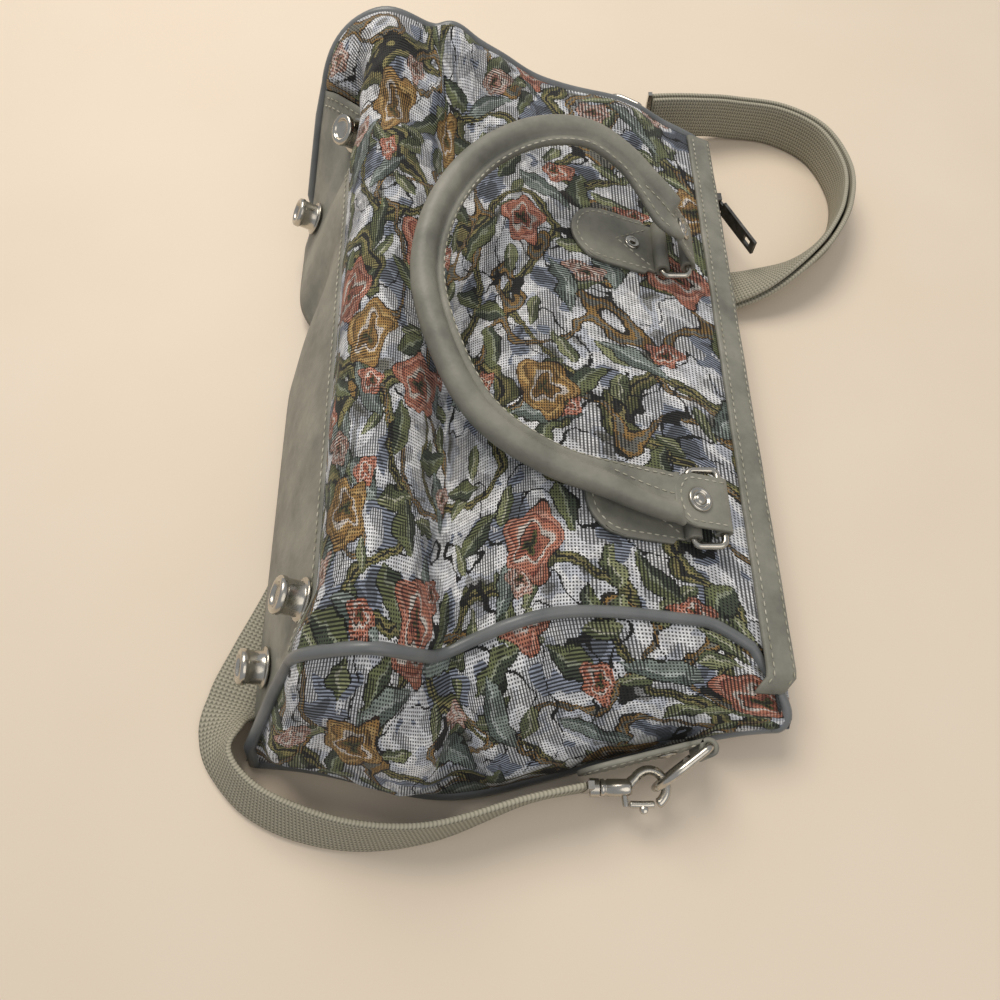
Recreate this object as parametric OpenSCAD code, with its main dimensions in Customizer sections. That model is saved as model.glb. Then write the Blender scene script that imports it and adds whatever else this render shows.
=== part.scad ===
// Tapestry satchel lying slumped on its back, with handles, zip and webbing shoulder strap.
// X runs from base to zip, Y along the length away from the viewer, Z up out of the front panel.

/* [Bag] */
// Length of the bag along its zip
bag_length = 316; // [300:1:330]
// Height of the back panel from base to zip
bag_height = 226; // [216:1:236]
// Depth of the base between its two long edges
base_depth = 78; // [72:1:84]
// Lean of the slumped base from upright, in degrees
base_lean = 28; // [22:1:32]
// How far the front panel has slid along the length
end_slide = 28; // [20:1:34]
// Thickness of the tapestry and leather walls
wall = 2.4; // [1.8:0.1:2.8]
// Height of the cloth roll above the base seam
roll_rise = 20; // [10:1:26]
// Depth of the crease beside the roll
crease_drop = 6; // [0:1:10]
// Diameter of the piping cord
piping_d = 5; // [4:0.5:6]
// Room under the back panel for the back handle
back_room = 15; // [14.5:0.5:18]
// Slope of the upper front panel, in degrees
front_slope = 21; // [17:1:23]

/* [Zip] */
// Height of the zip above the table
zip_z = 22; // [21.5:0.5:26]
// Space between the two zip edges
zip_gap = 12; // [11.5:0.5:14]
// Length of the zip
zip_length = 286; // [270:1:290]
// Distance between teeth of one row
zip_pitch = 4; // [3:0.5:6]
// Width of the leather zip binding
binding_w = 12; // [9:1:15]
// Length of the pull tab
pull_l = 38; // [24:1:42]

/* [Handles] */
// Distance between the two ends of a handle
handle_span = 143; // [135:1:150]
// Thickness of the rolled handle
handle_d = 12; // [10:0.5:13]
// Width of the flat handle ends
handle_end_w = 24; // [18:1:26]
// Length of the leather tabs behind the rings
tab_l = 48; // [40:1:54]
// Width of the leather tabs
tab_w = 34; // [28:1:38]
// Leather thickness of tabs and handle ends
leather = 1.9; // [1.4:0.1:2.2]
// Wire radius of the handle rings
wire_r = 1.5; // [1.2:0.1:1.7]
// Inner width of the handle rings
ring_w = 32; // [30:1:36]
// Distance between the two bars of a handle ring
ring_l = 13; // [12:0.5:15]

/* [Feet] */
// Radius of a foot
foot_r = 7.5; // [5:0.5:9]
// Height of a foot
foot_h = 11; // [8:0.5:13]
// Distance of the feet from each end of the base
foot_inset = 29; // [24:1:48]

/* [Strap] */
// Width of the webbing
strap_w = 25; // [20:1:26]
// Thickness of the webbing
strap_t = 2.6; // [1.6:0.1:2.8]
// Wire radius of the D-rings
d_wire_r = 1.6; // [1.3:0.1:1.8]
// Inner width of the D-rings
d_ring_w = 22; // [20:1:24]
// Wire radius of the snap hooks
hook_r = 2; // [1.6:0.1:2.1]

/* [Hidden] */
// Running clearance round a wire in its loop
run_gap = 0.2;
// Clearance between pieces that lie on each other
lay_gap = 0.3;
piping_r = piping_d / 2;
seam = piping_r + lay_gap;
x_zip = bag_height / 2;
z_front = zip_z + zip_gap / 2;
z_back = zip_z - zip_gap / 2;
base_dx = base_depth * sin(base_lean);
base_dz = base_depth * cos(base_lean);
base_skew = 8;
// Shift that puts the origin under the middle of the object
origin_x = 7.08;
origin_y = 0.65;
// Ends of the panels along Y
front_near = -bag_length / 2 + end_slide / 2 - 6;
front_far = bag_length / 2 + end_slide / 2 - 6;
back_near = front_near - end_slide;
back_far = front_far - end_slide;
// Loop radius, bar heights and bar places of the handle rings
loop_r = wire_r + run_gap + leather;
bar_in_x = -42;
bar_in_z = loop_r + lay_gap;
ring_tilt = 20;
bar_out_x = bar_in_x + ring_l * cos(ring_tilt);
bar_out_z = bar_in_z + ring_l * sin(ring_tilt);
front_handle_y = -9.5;
back_handle_y = front_handle_y - end_slide;
far_end_lift = 35;
// Side tabs and hooks
side_loop_r = d_wire_r + run_gap + leather;
d_axis_x = 77;
near_axis_z = 18.5;
far_axis_z = 24;
d_depth = 12.4;
near_axis_y = back_near + 2.6;
far_axis_y = front_far + 12.8;
near_tab_turn = -13;
near_hook_z = strap_w / 2 + 2.6;
far_hook_z = far_axis_z - 4;
near_lift = near_hook_z - strap_w / 2 - 0.4;
far_lift = far_hook_z - strap_w / 2 - 0.4;
hook_loop_r = 6.5;
d_bow_r = d_ring_w / 2 + d_wire_r;
d_turn = 214.8;
// Offset of the D-ring wire from the middle of the hook loop
hook_slack = hook_loop_r - hook_r - d_wire_r - 0.75;
d_crown_x = d_axis_x + (d_depth + d_bow_r) * cos(d_turn);
d_crown_y = (d_depth + d_bow_r) * sin(d_turn);
near_hook_x = d_crown_x + 0.4 - hook_slack;
far_hook_x = d_crown_x + 0.4 + hook_slack;
near_hook_y = near_axis_y + d_crown_y + 0.3;
far_hook_y = far_axis_y - d_crown_y - 0.3;
// Zip
zip_mid_y = -9;
// The front binding runs on past the zip to the far seam
front_binding_more = front_far - 7 - zip_mid_y - zip_length / 2 - 3;
zip_near = zip_mid_y - zip_length / 2;
zip_far = zip_mid_y + zip_length / 2;
chain_x = x_zip - 1;
chain_t = 2.2;
chain_half = 2.5;
slider_y = zip_far - 14;
pin_x = chain_x + chain_t / 2 + 4.6;
pull_turn = -66;

// Small helpers
function lerp(a, b, t) = a + (b - a) * t;
function clamp(x) = min(1, max(0, x));
function smooth(a, b, x) = let (t = clamp((x - a) / (b - a))) t * t * (3 - 2 * t);
function bell(c, w, x) = exp(-pow((x - c) / w, 2));
function unit(a) = a / norm(a);
function curve(p, t) =
    let (n = len(p) - 1, s = clamp(t) * n, i = min(n - 1, floor(s)), f = s - i)
    let (a = p[max(0, i - 1)], b = p[i], c = p[i + 1], d = p[min(n, i + 2)])
    0.5 * (2 * b + (c - a) * f + (2 * a - 5 * b + 4 * c - d) * f * f
        + (3 * b - a - 3 * c + d) * f * f * f);

// Front panel profile from the base seam to the zip, as X and Z
front_x0 = -x_zip + base_dx;
slope_t = tan(front_slope);
function plane_z(x) = z_front + (x_zip - x) * slope_t;
front_line = [[front_x0, base_dz], [front_x0 + 7, base_dz + 0.66 * roll_rise],
    [front_x0 + 23, base_dz + roll_rise], [front_x0 + 38, base_dz + 0.5 * roll_rise],
    [front_x0 + 46, base_dz - 2], [front_x0 + 58, base_dz - 5], [0, plane_z(0) - 3.5],
    [20, plane_z(20) - 0.5], [51, plane_z(51)], [82, plane_z(82)], [x_zip, plane_z(x_zip)]];
// Front edge lines at the near and far ends
function near_y(v) = front_near + 22 * smooth(0.28, 0.8, v) * (1 - 0.7 * smooth(0.88, 1, v));
function far_y(v) = front_far - 12 * (1 - smooth(0, 0.14, v)) - 3 * smooth(0.9, 1, v);
function front_surface(u, v) =
    let (p = curve(front_line, v), y = lerp(near_y(v), far_y(v), u))
    let (flat = 1 - smooth(0.5, 0.62, v), far_fill = smooth(0.55, 1, u))
    let (dip = 6 * (1 - smooth(0, 0.05, u)) + 5 * smooth(0.96, 1, u))
    let (deep = -crease_drop * bell(0.42, 0.075, v) * bell(0.4, 0.35, u))
    let (fill = far_fill * (13 * bell(0.5, 0.13, v) + 4 * bell(0.2, 0.1, v)))
    let (puff = 9 * bell(0.93, 0.09, u) * bell(0.84, 0.08, v) * (1 - smooth(0.87, 0.95, v)))
    let (wave = 2.2 * flat * sin(540 * u + 200 * v) * bell(0.22, 0.14, v))
    let (skew = -base_skew * (u - 0.5) * (1 - v))
    let (cap = smooth(0.8, 1, u) * (12 * bell(0.2, 0.17, v) + 20 * bell(0.42, 0.12, v)))
    let (flare = -17 * smooth(0.92, 1, u) * (1 - smooth(0.02, 0.3, v)))
    let (near_flare = -9 * (1 - smooth(0, 0.09, u)) * (1 - smooth(0.02, 0.22, v)))
    let (tuck = 13 * bell(0.88, 0.05, u) * (1 - smooth(0, 0.12, v)))
    [p[0] + skew + flare + near_flare + tuck, y, p[1] - dip * (1 - 0.75 * v) + deep + fill + puff + wave + cap];

// Back panel: rests on its two ends, lifted between them
function back_rise(u, v) =
    let (mid = smooth(0.02, 0.1, u) * (1 - smooth(0.9, 0.98, u)))
    let (low = mid * lerp(7.5, back_room, smooth(0.02, 0.16, v)))
    lerp(low, z_back, smooth(0.74, 0.94, v));
function back_bow(v) = -13 * bell(0.38, 0.2, v) + 12 * smooth(0.55, 1, v);
function back_surface(u, v) =
    let (near = back_near + back_bow(v))
    let (far = back_far + 5 * smooth(0.5, 1, v) - 13 * (1 - smooth(0, 0.25, v)))
    let (waist = 12 * bell(0.69, 0.055, u) - 3.5 * (1 - smooth(0, 0.09, u)))
    [lerp(-x_zip - base_skew * (u - 0.5) + waist, x_zip, v), lerp(near, far, u), back_rise(u, v)];

// Seam lines where the piping lies
function lift_seam(p) = [p[0], p[1], max(p[2], piping_r + 0.4)];
function near_front_seam(v) = front_surface(0, v) - [0, 0, 1];
function far_front_seam(v) = front_surface(1, v) - [0, 0, 1];
function near_back_seam(v) = lift_seam(back_surface(0, v));
function far_back_seam(v) = lift_seam(back_surface(1, v));

// Gussets between the seams, puffed, the near one with an upright fold
function bezier(a, b, c, t) = a * pow(1 - t, 2) + b * 2 * t * (1 - t) + c * t * t;
function near_mid(v) =
    let (a = near_back_seam(v), b = near_front_seam(v))
    let (fold = 26 * bell(0.43, 0.05, v) - 8 * bell(0.27, 0.12, v))
    [lerp(a[0], b[0], 0.5), a[1] - 7 + fold * (1 - v), lerp(a[2], b[2], 0.62)];
function far_mid(v) =
    let (a = far_back_seam(v), b = far_front_seam(v))
    [lerp(a[0], b[0], 0.5), max(a[1], b[1]) + 26 * (1 - 0.6 * bell(1, 0.12, v)), lerp(a[2], b[2], 0.2)];
function near_gusset_surface(v, w) = bezier(near_back_seam(v), near_mid(v), near_front_seam(v), w);
function far_gusset_surface(v, w) = bezier(far_back_seam(v), far_mid(v), far_front_seam(v), w);
function gap_w(a, b) = min(0.3, (seam + 0.9) / max(8, 2 * norm(a - b)));

// Base panel between its two long seams
function base_surface(u, w) =
    let (a = back_surface(u, 0), b = front_surface(u, 0))
    let (out = 2 * sin(180 * w) * smooth(0, 0.1, u) * (1 - smooth(0.9, 1, u)))
    lerp(a, b, w) + out * [-cos(base_lean), 0, sin(base_lean)];

function base_normal(u, w) =
    unit(cross(base_surface(u, w + 0.1) - base_surface(u, w - 0.1),
        base_surface(u + 0.03, w) - base_surface(u - 0.03, w)));

// A panel of cloth: a grid of points on its outside, thickened inwards
function normal_at(g, i, j, m, n) =
    unit(cross(g[min(i + 1, m)][j] - g[max(i - 1, 0)][j],
        g[i][min(j + 1, n)] - g[i][max(j - 1, 0)]));
module panel(g, t) {
    m = len(g) - 1;
    n = len(g[0]) - 1;
    r = n + 1;
    k = (m + 1) * r;
    outer = [for (i = [0:m]) for (j = [0:n]) g[i][j]];
    inner = [for (i = [0:m]) for (j = [0:n]) g[i][j] - t * normal_at(g, i, j, m, n)];
    tops = [for (i = [0:m - 1]) for (j = [0:n - 1]) let (a = i * r + j)
        each [[a, a + 1, a + r + 1], [a, a + r + 1, a + r]]];
    unders = [for (f = tops) [f[0] + k, f[2] + k, f[1] + k]];
    ends = [for (j = [0:n - 1]) let (a = j, b = m * r + j)
        each [[a + 1, a, a + k], [a + 1, a + k, a + 1 + k],
            [b, b + 1, b + 1 + k], [b, b + 1 + k, b + k]]];
    sides = [for (i = [0:m - 1]) let (a = i * r, b = i * r + n)
        each [[a, a + r, a + r + k], [a, a + r + k, a + k],
            [b + r, b, b + k], [b + r, b + k, b + r + k]]];
    polyhedron(points = concat(outer, inner), faces = concat(tops, unders, ends, sides));
}

// A swept bar through closed rings of points
module sweep(rings) {
    m = len(rings);
    k = len(rings[0]);
    walls = [for (i = [0:m - 2]) for (j = [0:k - 1])
        let (a = i * k + j, b = i * k + (j + 1) % k)
        each [[a, b + k, b], [a, a + k, b + k]]];
    first = [for (j = [0:k - 1]) j];
    last = [for (j = [0:k - 1]) m * k - 1 - j];
    polyhedron(points = [for (r = rings) each r], faces = concat(walls, [first], [last]));
}
function along(p, i) = unit(p[min(i + 1, len(p) - 1)] - p[max(i - 1, 0)]);
function tube_rings(p, r, sides, up) =
    [for (i = [0:len(p) - 1])
        let (t = along(p, i), s = unit(cross(up[i], t)), w = cross(t, s))
        [for (j = [0:sides - 1]) let (a = 360 * j / sides)
            p[i] + r[i][0] * cos(a) * s + r[i][1] * sin(a) * w]];

// Front panel of tapestry
module front_panel() {
    v0 = 0.014;
    v1 = 0.99;
    u0 = (seam + 0.4) / bag_length;
    grid = [for (i = [0:26]) [for (j = [0:24])
        front_surface(lerp(u0, 1 - u0, j / 24), lerp(v0, v1, i / 26))]];
    color("tan") panel(grid, wall);
}

// Back panel of tapestry, resting on the table
module back_panel() {
    v0 = 0.024;
    v1 = 0.99;
    u0 = (seam + 1) / bag_length;
    grid = [for (i = [0:18]) [for (j = [0:14])
        back_surface(lerp(u0, 1 - u0, i / 18), lerp(v0, v1, j / 14))]];
    color("tan") panel(grid, wall);
}

// End gussets of tapestry
module near_gusset() {
    grid = [for (i = [0:22]) let (v = lerp(0.025, 0.97, i / 22))
        let (a = gap_w(near_back_seam(v), near_mid(v)), b = gap_w(near_front_seam(v), near_mid(v)))
        [for (j = [0:9]) near_gusset_surface(v, lerp(a, 1 - b, j / 9))]];
    color("tan") panel(grid, wall);
}
module far_gusset() {
    grid = [for (j = [0:8]) [for (i = [0:16]) let (v = lerp(0.025, 0.97, i / 16))
        let (a = gap_w(far_back_seam(v), far_mid(v)), b = gap_w(far_front_seam(v), far_mid(v)))
        far_gusset_surface(v, lerp(a, 1 - b, j / 8))]];
    color("tan") panel(grid, wall);
}

// Base panel of leather
module base_panel() {
    u0 = (seam + 0.5) / bag_length;
    grid = [for (i = [0:7]) [for (j = [0:18])
        base_surface(lerp(u0, 1 - u0, j / 18), lerp(0.03, 0.995, i / 7))]];
    color("gray") panel(grid, wall);
}

// Frame of the base: X along its length, Y from back edge to front edge, Z outwards
module base_frame() {
    mid = base_surface(0.5, 0.5);
    translate([mid[0], mid[1], mid[2]])
        rotate([0, 0, atan(base_skew / bag_length)])
            rotate([0, base_lean - 90, 0])
                children();
}

// Stiffening board inside the base
module base_board() {
    board_l = 0.38 * bag_length;
    board_w = 0.59 * base_depth;
    color("saddlebrown") base_frame()
        translate([-board_w / 2, -0.1 * bag_length - board_l / 2, -wall - 5])
            cube([board_w, board_l, 2]);
}

// Barrel feet with flange and dimple
module foot() {
    rotate_extrude($fn = 48) difference() {
        union() {
            square([foot_r + 1.2, 1.2]);
            translate([0, 1.2]) square([foot_r - 0.6, foot_h - 1.2]);
            translate([0, foot_h - 3]) square([foot_r, 2.4]);
        }
        translate([0, foot_h - 1.4]) square([foot_r - 3, 2]);
    }
}
module base_feet() {
    color("silver") for (w = [0.25, 0.86]) for (e = [-1, 1]) {
        u = 0.5 + e * (0.5 - foot_inset / bag_length);
        n = base_normal(u, w);
        // the far front and near back feet stand on twisted corners
        proud = e > 0 && w > 0.5 ? 2 : e < 0 && w < 0.5 ? 0.6 : 0.95;
        translate(base_surface(u, w) + proud * n)
            rotate([0, acos(n[2]), atan2(n[1], n[0])])
                foot();
    }
}

// Piping round each gusset
function near_line() = concat([for (i = [0:18]) near_front_seam(0.985 - 0.965 * i / 18)],
    [for (i = [1:4]) lerp(near_front_seam(0.004), near_back_seam(0.004), i / 5) - [1.5, 1, 0]],
    [for (i = [0:14]) near_back_seam(0.02 + 0.95 * i / 14)]);
function far_line() = concat([for (i = [0:16]) far_front_seam(0.985 - 0.965 * i / 16)],
    [for (i = [1:4]) lerp(far_front_seam(0.004), far_back_seam(0.004), i / 5) - [1.5, -1, 0]],
    [for (i = [0:12]) far_back_seam(0.02 + 0.95 * i / 12)]);
module cord_line(p) {
    sweep(tube_rings(p, [for (q = p) [piping_r, piping_r]], 8, [for (q = p) [0, 1, 0]]));
}
module near_piping() {
    color("slategray") cord_line(near_line());
}
module far_piping() {
    color("slategray") cord_line(far_line());
}

// Frame of the upper front panel and of the back panel at the zip edge
module front_frame() {
    translate([x_zip, 0, z_front])
        rotate([0, front_slope, 0])
            children();
}
module back_frame() {
    translate([x_zip, 0, back_room])
        rotate([180, 0, 0])
            children();
}

// Leather bindings over the two zip edges
module binding(more) {
    translate([0, zip_length / 2 + 3 + more, 0]) rotate([90, 0, 0]) linear_extrude(zip_length + 6 + more)
        polygon([[-binding_w, lay_gap], [-binding_w, lay_gap + 2], [1.6, lay_gap + 2],
            [2.4, lay_gap + 1.2], [2.4, -1.2], [0.4, -1.2], [0.4, lay_gap]]);
}
module front_binding() {
    color("gray") front_frame() translate([0, zip_mid_y, 0]) binding(front_binding_more);
}
module back_binding() {
    color("gray") translate([x_zip, zip_mid_y, z_back]) rotate([180, 0, 0]) binding(0);
}

// Zip tapes and the two rows of teeth
module zip_tape(z0, z1) {
    translate([chain_x - 0.5, zip_near, z0]) cube([1, zip_length, z1 - z0]);
}
module front_zip_tape() {
    color("dimgray") zip_tape(zip_z + chain_half + 0.1, zip_z + zip_gap / 2 - 1.8);
}
module back_zip_tape() {
    color("dimgray") zip_tape(zip_z - zip_gap / 2 + 0.6, zip_z - chain_half - 0.1);
}
module teeth_row(side, shift) {
    count = floor((zip_length - 10) / zip_pitch);
    half = zip_pitch * 0.2;
    row = [for (i = [0:count - 1]) let (y = zip_near + 5 + shift + i * zip_pitch)
        each [[y - half - 0.3, 1.2], [y - half, -1], [y + half, -1], [y + half + 0.3, 1.2]]];
    outline = concat([[zip_near + 2, chain_half], [zip_near + 2, 1.2]], row,
        [[zip_far - 2, 1.2], [zip_far - 2, chain_half]]);
    translate([chain_x - chain_t / 2, 0, zip_z])
        rotate([90, 0, 90])
            linear_extrude(chain_t)
                polygon([for (p = outline) [p[0], side * p[1]]]);
}
module front_teeth() {
    color("silver") teeth_row(1, 0);
}
module back_teeth() {
    color("silver") teeth_row(-1, zip_pitch / 2);
}

// Zip slider with its two ears and pin
module zip_slider() {
    x0 = chain_x + chain_t / 2 + lay_gap;
    color("silver") {
        translate([x0, slider_y - 8, zip_z - 3.7]) cube([1.5, 16, 7.4]);
        for (s = [-1, 1])
            translate([x0 + 1.4, slider_y - 2.5, zip_z + s * 3 - 0.6]) cube([pin_x - x0, 5, 1.2]);
        translate([pin_x, slider_y, zip_z - 3.2]) cylinder(r = 0.9, h = 6.4, $fn = 24);
    }
}
module zip_pull() {
    color("silver") translate([pin_x, slider_y, zip_z]) rotate([0, 0, pull_turn]) difference() {
        union() {
            translate([0, 0, -2]) cylinder(r = 2.1, h = 4, $fn = 32);
            translate([0, -0.8, -2]) cube([8, 1.6, 4]);
            translate([6, -0.8, -4]) cube([pull_l - 6, 1.6, 8]);
        }
        translate([0, 0, -3]) cylinder(r = 0.9 + run_gap, h = 6, $fn = 24);
        translate([pull_l - 9, -2, -2]) cube([5.5, 4, 4]);
    }
}

// Leather tab sewn on a panel, with the loop that holds a ring
module handle_tab() {
    end = tab_w / 2;
    difference() {
        union() {
            translate([bar_in_x, 0, lay_gap]) linear_extrude(leather) union() {
                translate([-tab_l + end, 0]) circle(r = end, $fn = 96);
                translate([-tab_l + end, -end]) square([tab_l - end - 7, tab_w]);
                translate([-8, -ring_w / 2 + 1.5]) square([8, ring_w - 3]);
            }
            translate([bar_in_x, ring_w / 2 - 1.5, bar_in_z]) rotate([90, 0, 0])
                cylinder(r = loop_r, h = ring_w - 3, $fn = 64);
        }
        translate([bar_in_x, ring_w / 2, bar_in_z]) rotate([90, 0, 0])
            cylinder(r = wire_r + run_gap, h = ring_w, $fn = 48);
    }
}
module rivet(r, h) {
    rotate_extrude($fn = 48) difference() {
        union() {
            square([r, h * 0.6]);
            square([r * 0.72, h]);
        }
        translate([r * 0.3, h * 0.7]) square([r * 0.16, h]);
    }
}
module tab_rivet() {
    translate([bar_in_x - 15, 0, lay_gap + leather + 0.05]) rivet(4, 1.5);
}

// Rectangular wire ring: one bar in the tab loop, one in the handle end
module handle_ring() {
    half = ring_w / 2 + wire_r;
    corner = 3;
    translate([bar_in_x, 0, bar_in_z]) rotate([0, -ring_tilt, 0]) {
        for (x = [0, ring_l]) translate([x, half - corner, 0]) rotate([90, 0, 0])
            cylinder(r = wire_r, h = 2 * (half - corner), $fn = 32);
        for (y = [-half, half]) translate([corner, y, 0]) rotate([0, 90, 0])
            cylinder(r = wire_r, h = ring_l - 2 * corner, $fn = 32);
        for (c = [[ring_l - corner, half - corner, 0], [corner, half - corner, 90],
                [corner, corner - half, 180], [ring_l - corner, corner - half, 270]])
            translate([c[0], c[1], 0]) rotate([0, 0, c[2]]) rotate_extrude(angle = 90, $fn = 48)
                translate([corner, 0]) circle(r = wire_r, $fn = 32);
    }
}
module pair(mid_y) {
    for (s = [-1, 1]) translate([0, mid_y + s * handle_span / 2, 0]) children();
}

// Flat end of a handle, turned round the outer bar and riveted to itself
module handle_end(lift) {
    translate([bar_out_x, handle_end_w / 2, bar_out_z]) rotate([0, lift, 0]) rotate([90, 0, 0])
        linear_extrude(handle_end_w) difference() {
            union() {
                circle(r = loop_r, $fn = 64);
                translate([-24, loop_r - 2 * leather]) square([24, 2 * leather]);
            }
            circle(r = wire_r + run_gap, $fn = 48);
        }
}
module handle_rivet(lift) {
    translate([bar_out_x, 0, bar_out_z]) rotate([0, lift, 0])
        translate([-13, 0, loop_r + 0.05]) rivet(5.5, 1.8);
}
function turned(lift, x, z) =
    [bar_out_x + x * cos(lift) + z * sin(lift), 0, bar_out_z - x * sin(lift) + z * cos(lift)];
function handle_size(t) =
    let (k = min(smooth(0.03, 0.17, t), 1 - smooth(0.83, 0.97, t)))
    [lerp(handle_end_w / 2, handle_d / 2 - 0.4, k), lerp(leather * 0.95, handle_d / 2, k)];
module handle_bar(route, up) {
    n = 34;
    p = [for (i = [0:n]) curve(route, i / n)];
    sweep(tube_rings(p, [for (i = [0:n]) handle_size(i / n)], 12, [for (i = [0:n]) up]));
}

// Handle routes in the frame of their panel, near end first
half_span = handle_span / 2;
end_z = loop_r - leather;
front_route = [turned(0, -21, end_z) + [0, -half_span, 0], turned(0, -27, end_z) + [0, -half_span, 0],
    [-78, -half_span + 2, 9], [-108, -half_span + 7, 8], [-137, -49, 8], [-155, -20, 9],
    [-164, 13, 11], [-160, 45, 16], [-145, 73, 22], [-122, 92, 28], [-97, 98, 32],
    [-76, 92, 31], [-61, 81, 28], turned(far_end_lift, -27, end_z) + [0, half_span, 0],
    turned(far_end_lift, -21, end_z) + [0, half_span, 0]];
back_route = [turned(0, -21, end_z) + [0, -half_span, 0], turned(0, -27, end_z) + [0, -half_span, 0],
    [-70, -half_span + 1, 8.5], [-104, -half_span + 7, 8.5], [-130, -half_span + 27, 8.2],
    [-142, 0, 8], [-130, half_span - 27, 8.2], [-104, half_span - 7, 8.5],
    [-70, half_span - 1, 8.5], turned(0, -27, end_z) + [0, half_span, 0],
    turned(0, -21, end_z) + [0, half_span, 0]];
module front_tabs() {
    color("gray") front_frame() pair(front_handle_y) handle_tab();
}
module front_tab_rivets() {
    color("silver") front_frame() pair(front_handle_y) tab_rivet();
}
module front_rings() {
    color("silver") front_frame() pair(front_handle_y) handle_ring();
}
module front_handle() {
    color("gray") front_frame() translate([0, front_handle_y, 0]) {
        handle_bar(front_route, [0, 0, 1]);
        translate([0, -half_span, 0]) handle_end(0);
        translate([0, half_span, 0]) handle_end(far_end_lift);
    }
}
module front_handle_rivets() {
    color("silver") front_frame() translate([0, front_handle_y, 0]) {
        translate([0, -half_span, 0]) handle_rivet(0);
        translate([0, half_span, 0]) handle_rivet(far_end_lift);
    }
}
module back_tabs() {
    color("gray") back_frame() pair(-back_handle_y) handle_tab();
}
module back_tab_rivets() {
    color("silver") back_frame() pair(-back_handle_y) tab_rivet();
}
module back_rings() {
    color("silver") back_frame() pair(-back_handle_y) handle_ring();
}
module back_handle() {
    color("gray") back_frame() translate([0, -back_handle_y, 0]) {
        handle_bar(back_route, [0, 0, 1]);
        for (s = [-1, 1]) translate([0, s * half_span, 0]) handle_end(0);
    }
}
module back_handle_rivets() {
    color("silver") back_frame() translate([0, -back_handle_y, 0])
        for (s = [-1, 1]) translate([0, s * half_span, 0]) handle_rivet(0);
}

// Side tabs on the gussets with an upright loop for the D-ring
module side_tab(axis_y, axis_z, turn) {
    translate([d_axis_x, axis_y, axis_z]) rotate([0, 0, turn]) difference() {
        union() {
            translate([0, leather / 2 - side_loop_r, 0]) rotate([90, 0, 0])
                linear_extrude(leather, center = true) union() {
                    translate([-40, 0]) circle(r = 12, $fn = 96);
                    translate([-40, -12]) square([33, 24]);
                    translate([-8, -d_ring_w / 2 + 1.5]) square([8, d_ring_w - 3]);
                }
            translate([0, 0, 1.5 - d_ring_w / 2]) cylinder(r = side_loop_r, h = d_ring_w - 3, $fn = 64);
        }
        translate([0, 0, -d_ring_w / 2]) cylinder(r = d_wire_r + run_gap, h = d_ring_w, $fn = 48);
    }
}
module side_rivet(axis_y, axis_z, turn) {
    translate([d_axis_x, axis_y, axis_z]) rotate([0, 0, turn])
        translate([-15, leather - side_loop_r + 0.05, 0]) rotate([-90, 0, 0]) rivet(4, 1.5);
}
module near_side_tab() {
    color("gray") mirror([0, 1, 0]) side_tab(-near_axis_y, near_axis_z, near_tab_turn);
}
module far_side_tab() {
    color("gray") side_tab(far_axis_y, far_axis_z, 0);
}
module side_tab_rivets() {
    color("silver") {
        mirror([0, 1, 0]) side_rivet(-near_axis_y, near_axis_z, near_tab_turn);
        side_rivet(far_axis_y, far_axis_z, 0);
    }
}

// D-ring standing upright, its bar in the side tab
module d_ring(turn) {
    rotate([0, 0, turn]) {
        translate([0, 0, 3 - d_bow_r]) cylinder(r = d_wire_r, h = 2 * d_bow_r - 6, $fn = 32);
        for (s = [-1, 1]) {
            translate([3, 0, s * d_bow_r]) rotate([0, 90, 0])
                cylinder(r = d_wire_r, h = d_depth - 3, $fn = 32);
            translate([3, 0, s * (d_bow_r - 3)]) rotate([90, s * 90, 0])
                rotate([0, 0, 180]) rotate_extrude(angle = 90, $fn = 48)
                    translate([3, 0]) circle(r = d_wire_r, $fn = 32);
        }
        translate([d_depth, 0, 0]) rotate([90, 0, 0]) rotate([0, 0, -90])
            rotate_extrude(angle = 180, $fn = 64) translate([d_bow_r, 0]) circle(r = d_wire_r, $fn = 32);
    }
}
module near_d_ring() {
    color("silver") translate([d_axis_x, near_axis_y, near_axis_z]) d_ring(d_turn);
}
module far_d_ring() {
    color("silver") translate([d_axis_x, far_axis_y, far_axis_z]) d_ring(-d_turn);
}

// Swivel snap hook: X runs from the eye to the crown, origin at the middle of its loop
module hook() {
    rotate([0, 0, -70]) rotate_extrude(angle = 230, $fn = 64) translate([hook_loop_r, 0])
        circle(r = hook_r, $fn = 32);
    translate([-20, 0, 0]) rotate([0, 90, 0]) difference() {
        cylinder(r = 3.4, h = 13.2, $fn = 48);
        translate([0, 0, -1]) cylinder(r = 1.6 + run_gap, h = 7, $fn = 32);
    }
    translate([-8.4, 3, -1.6]) cube([4.4, 2.6, 3.2]);
    translate([-11, -6.4, -1.4]) cube([2.3, 4, 2.8]);
}
module gate() {
    translate([-7.2, -6.2, 0]) cylinder(r = 1.2, h = 2.6, center = true, $fn = 32);
    translate([-7.2, -7.4, -1.3]) cube([8.4, 2.4, 2.6]);
    translate([-3, -8.6, 0]) cylinder(r = 1.6, h = 2.6, center = true, $fn = 32);
}
module hook_eye() {
    translate([-24, 0, 0]) rotate([0, 90, 0]) cylinder(r = 3.6, h = 3.6, $fn = 48);
    translate([-22, 0, 0]) rotate([0, 90, 0]) cylinder(r = 1.6, h = 7, $fn = 32);
    translate([-26, -1.5, -strap_w / 2 - 2]) cube([2.4, 3, strap_w + 4]);
}
module near_hook_place() {
    translate([near_hook_x, near_hook_y, near_hook_z]) children();
}
module far_hook_place() {
    translate([far_hook_x, far_hook_y, far_hook_z]) rotate([0, 0, 180]) children();
}
module near_hook_eye() {
    color("silver") near_hook_place() hook_eye();
}
module near_hook() {
    color("silver") near_hook_place() hook();
}
module near_gate() {
    color("silver") near_hook_place() gate();
}
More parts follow.
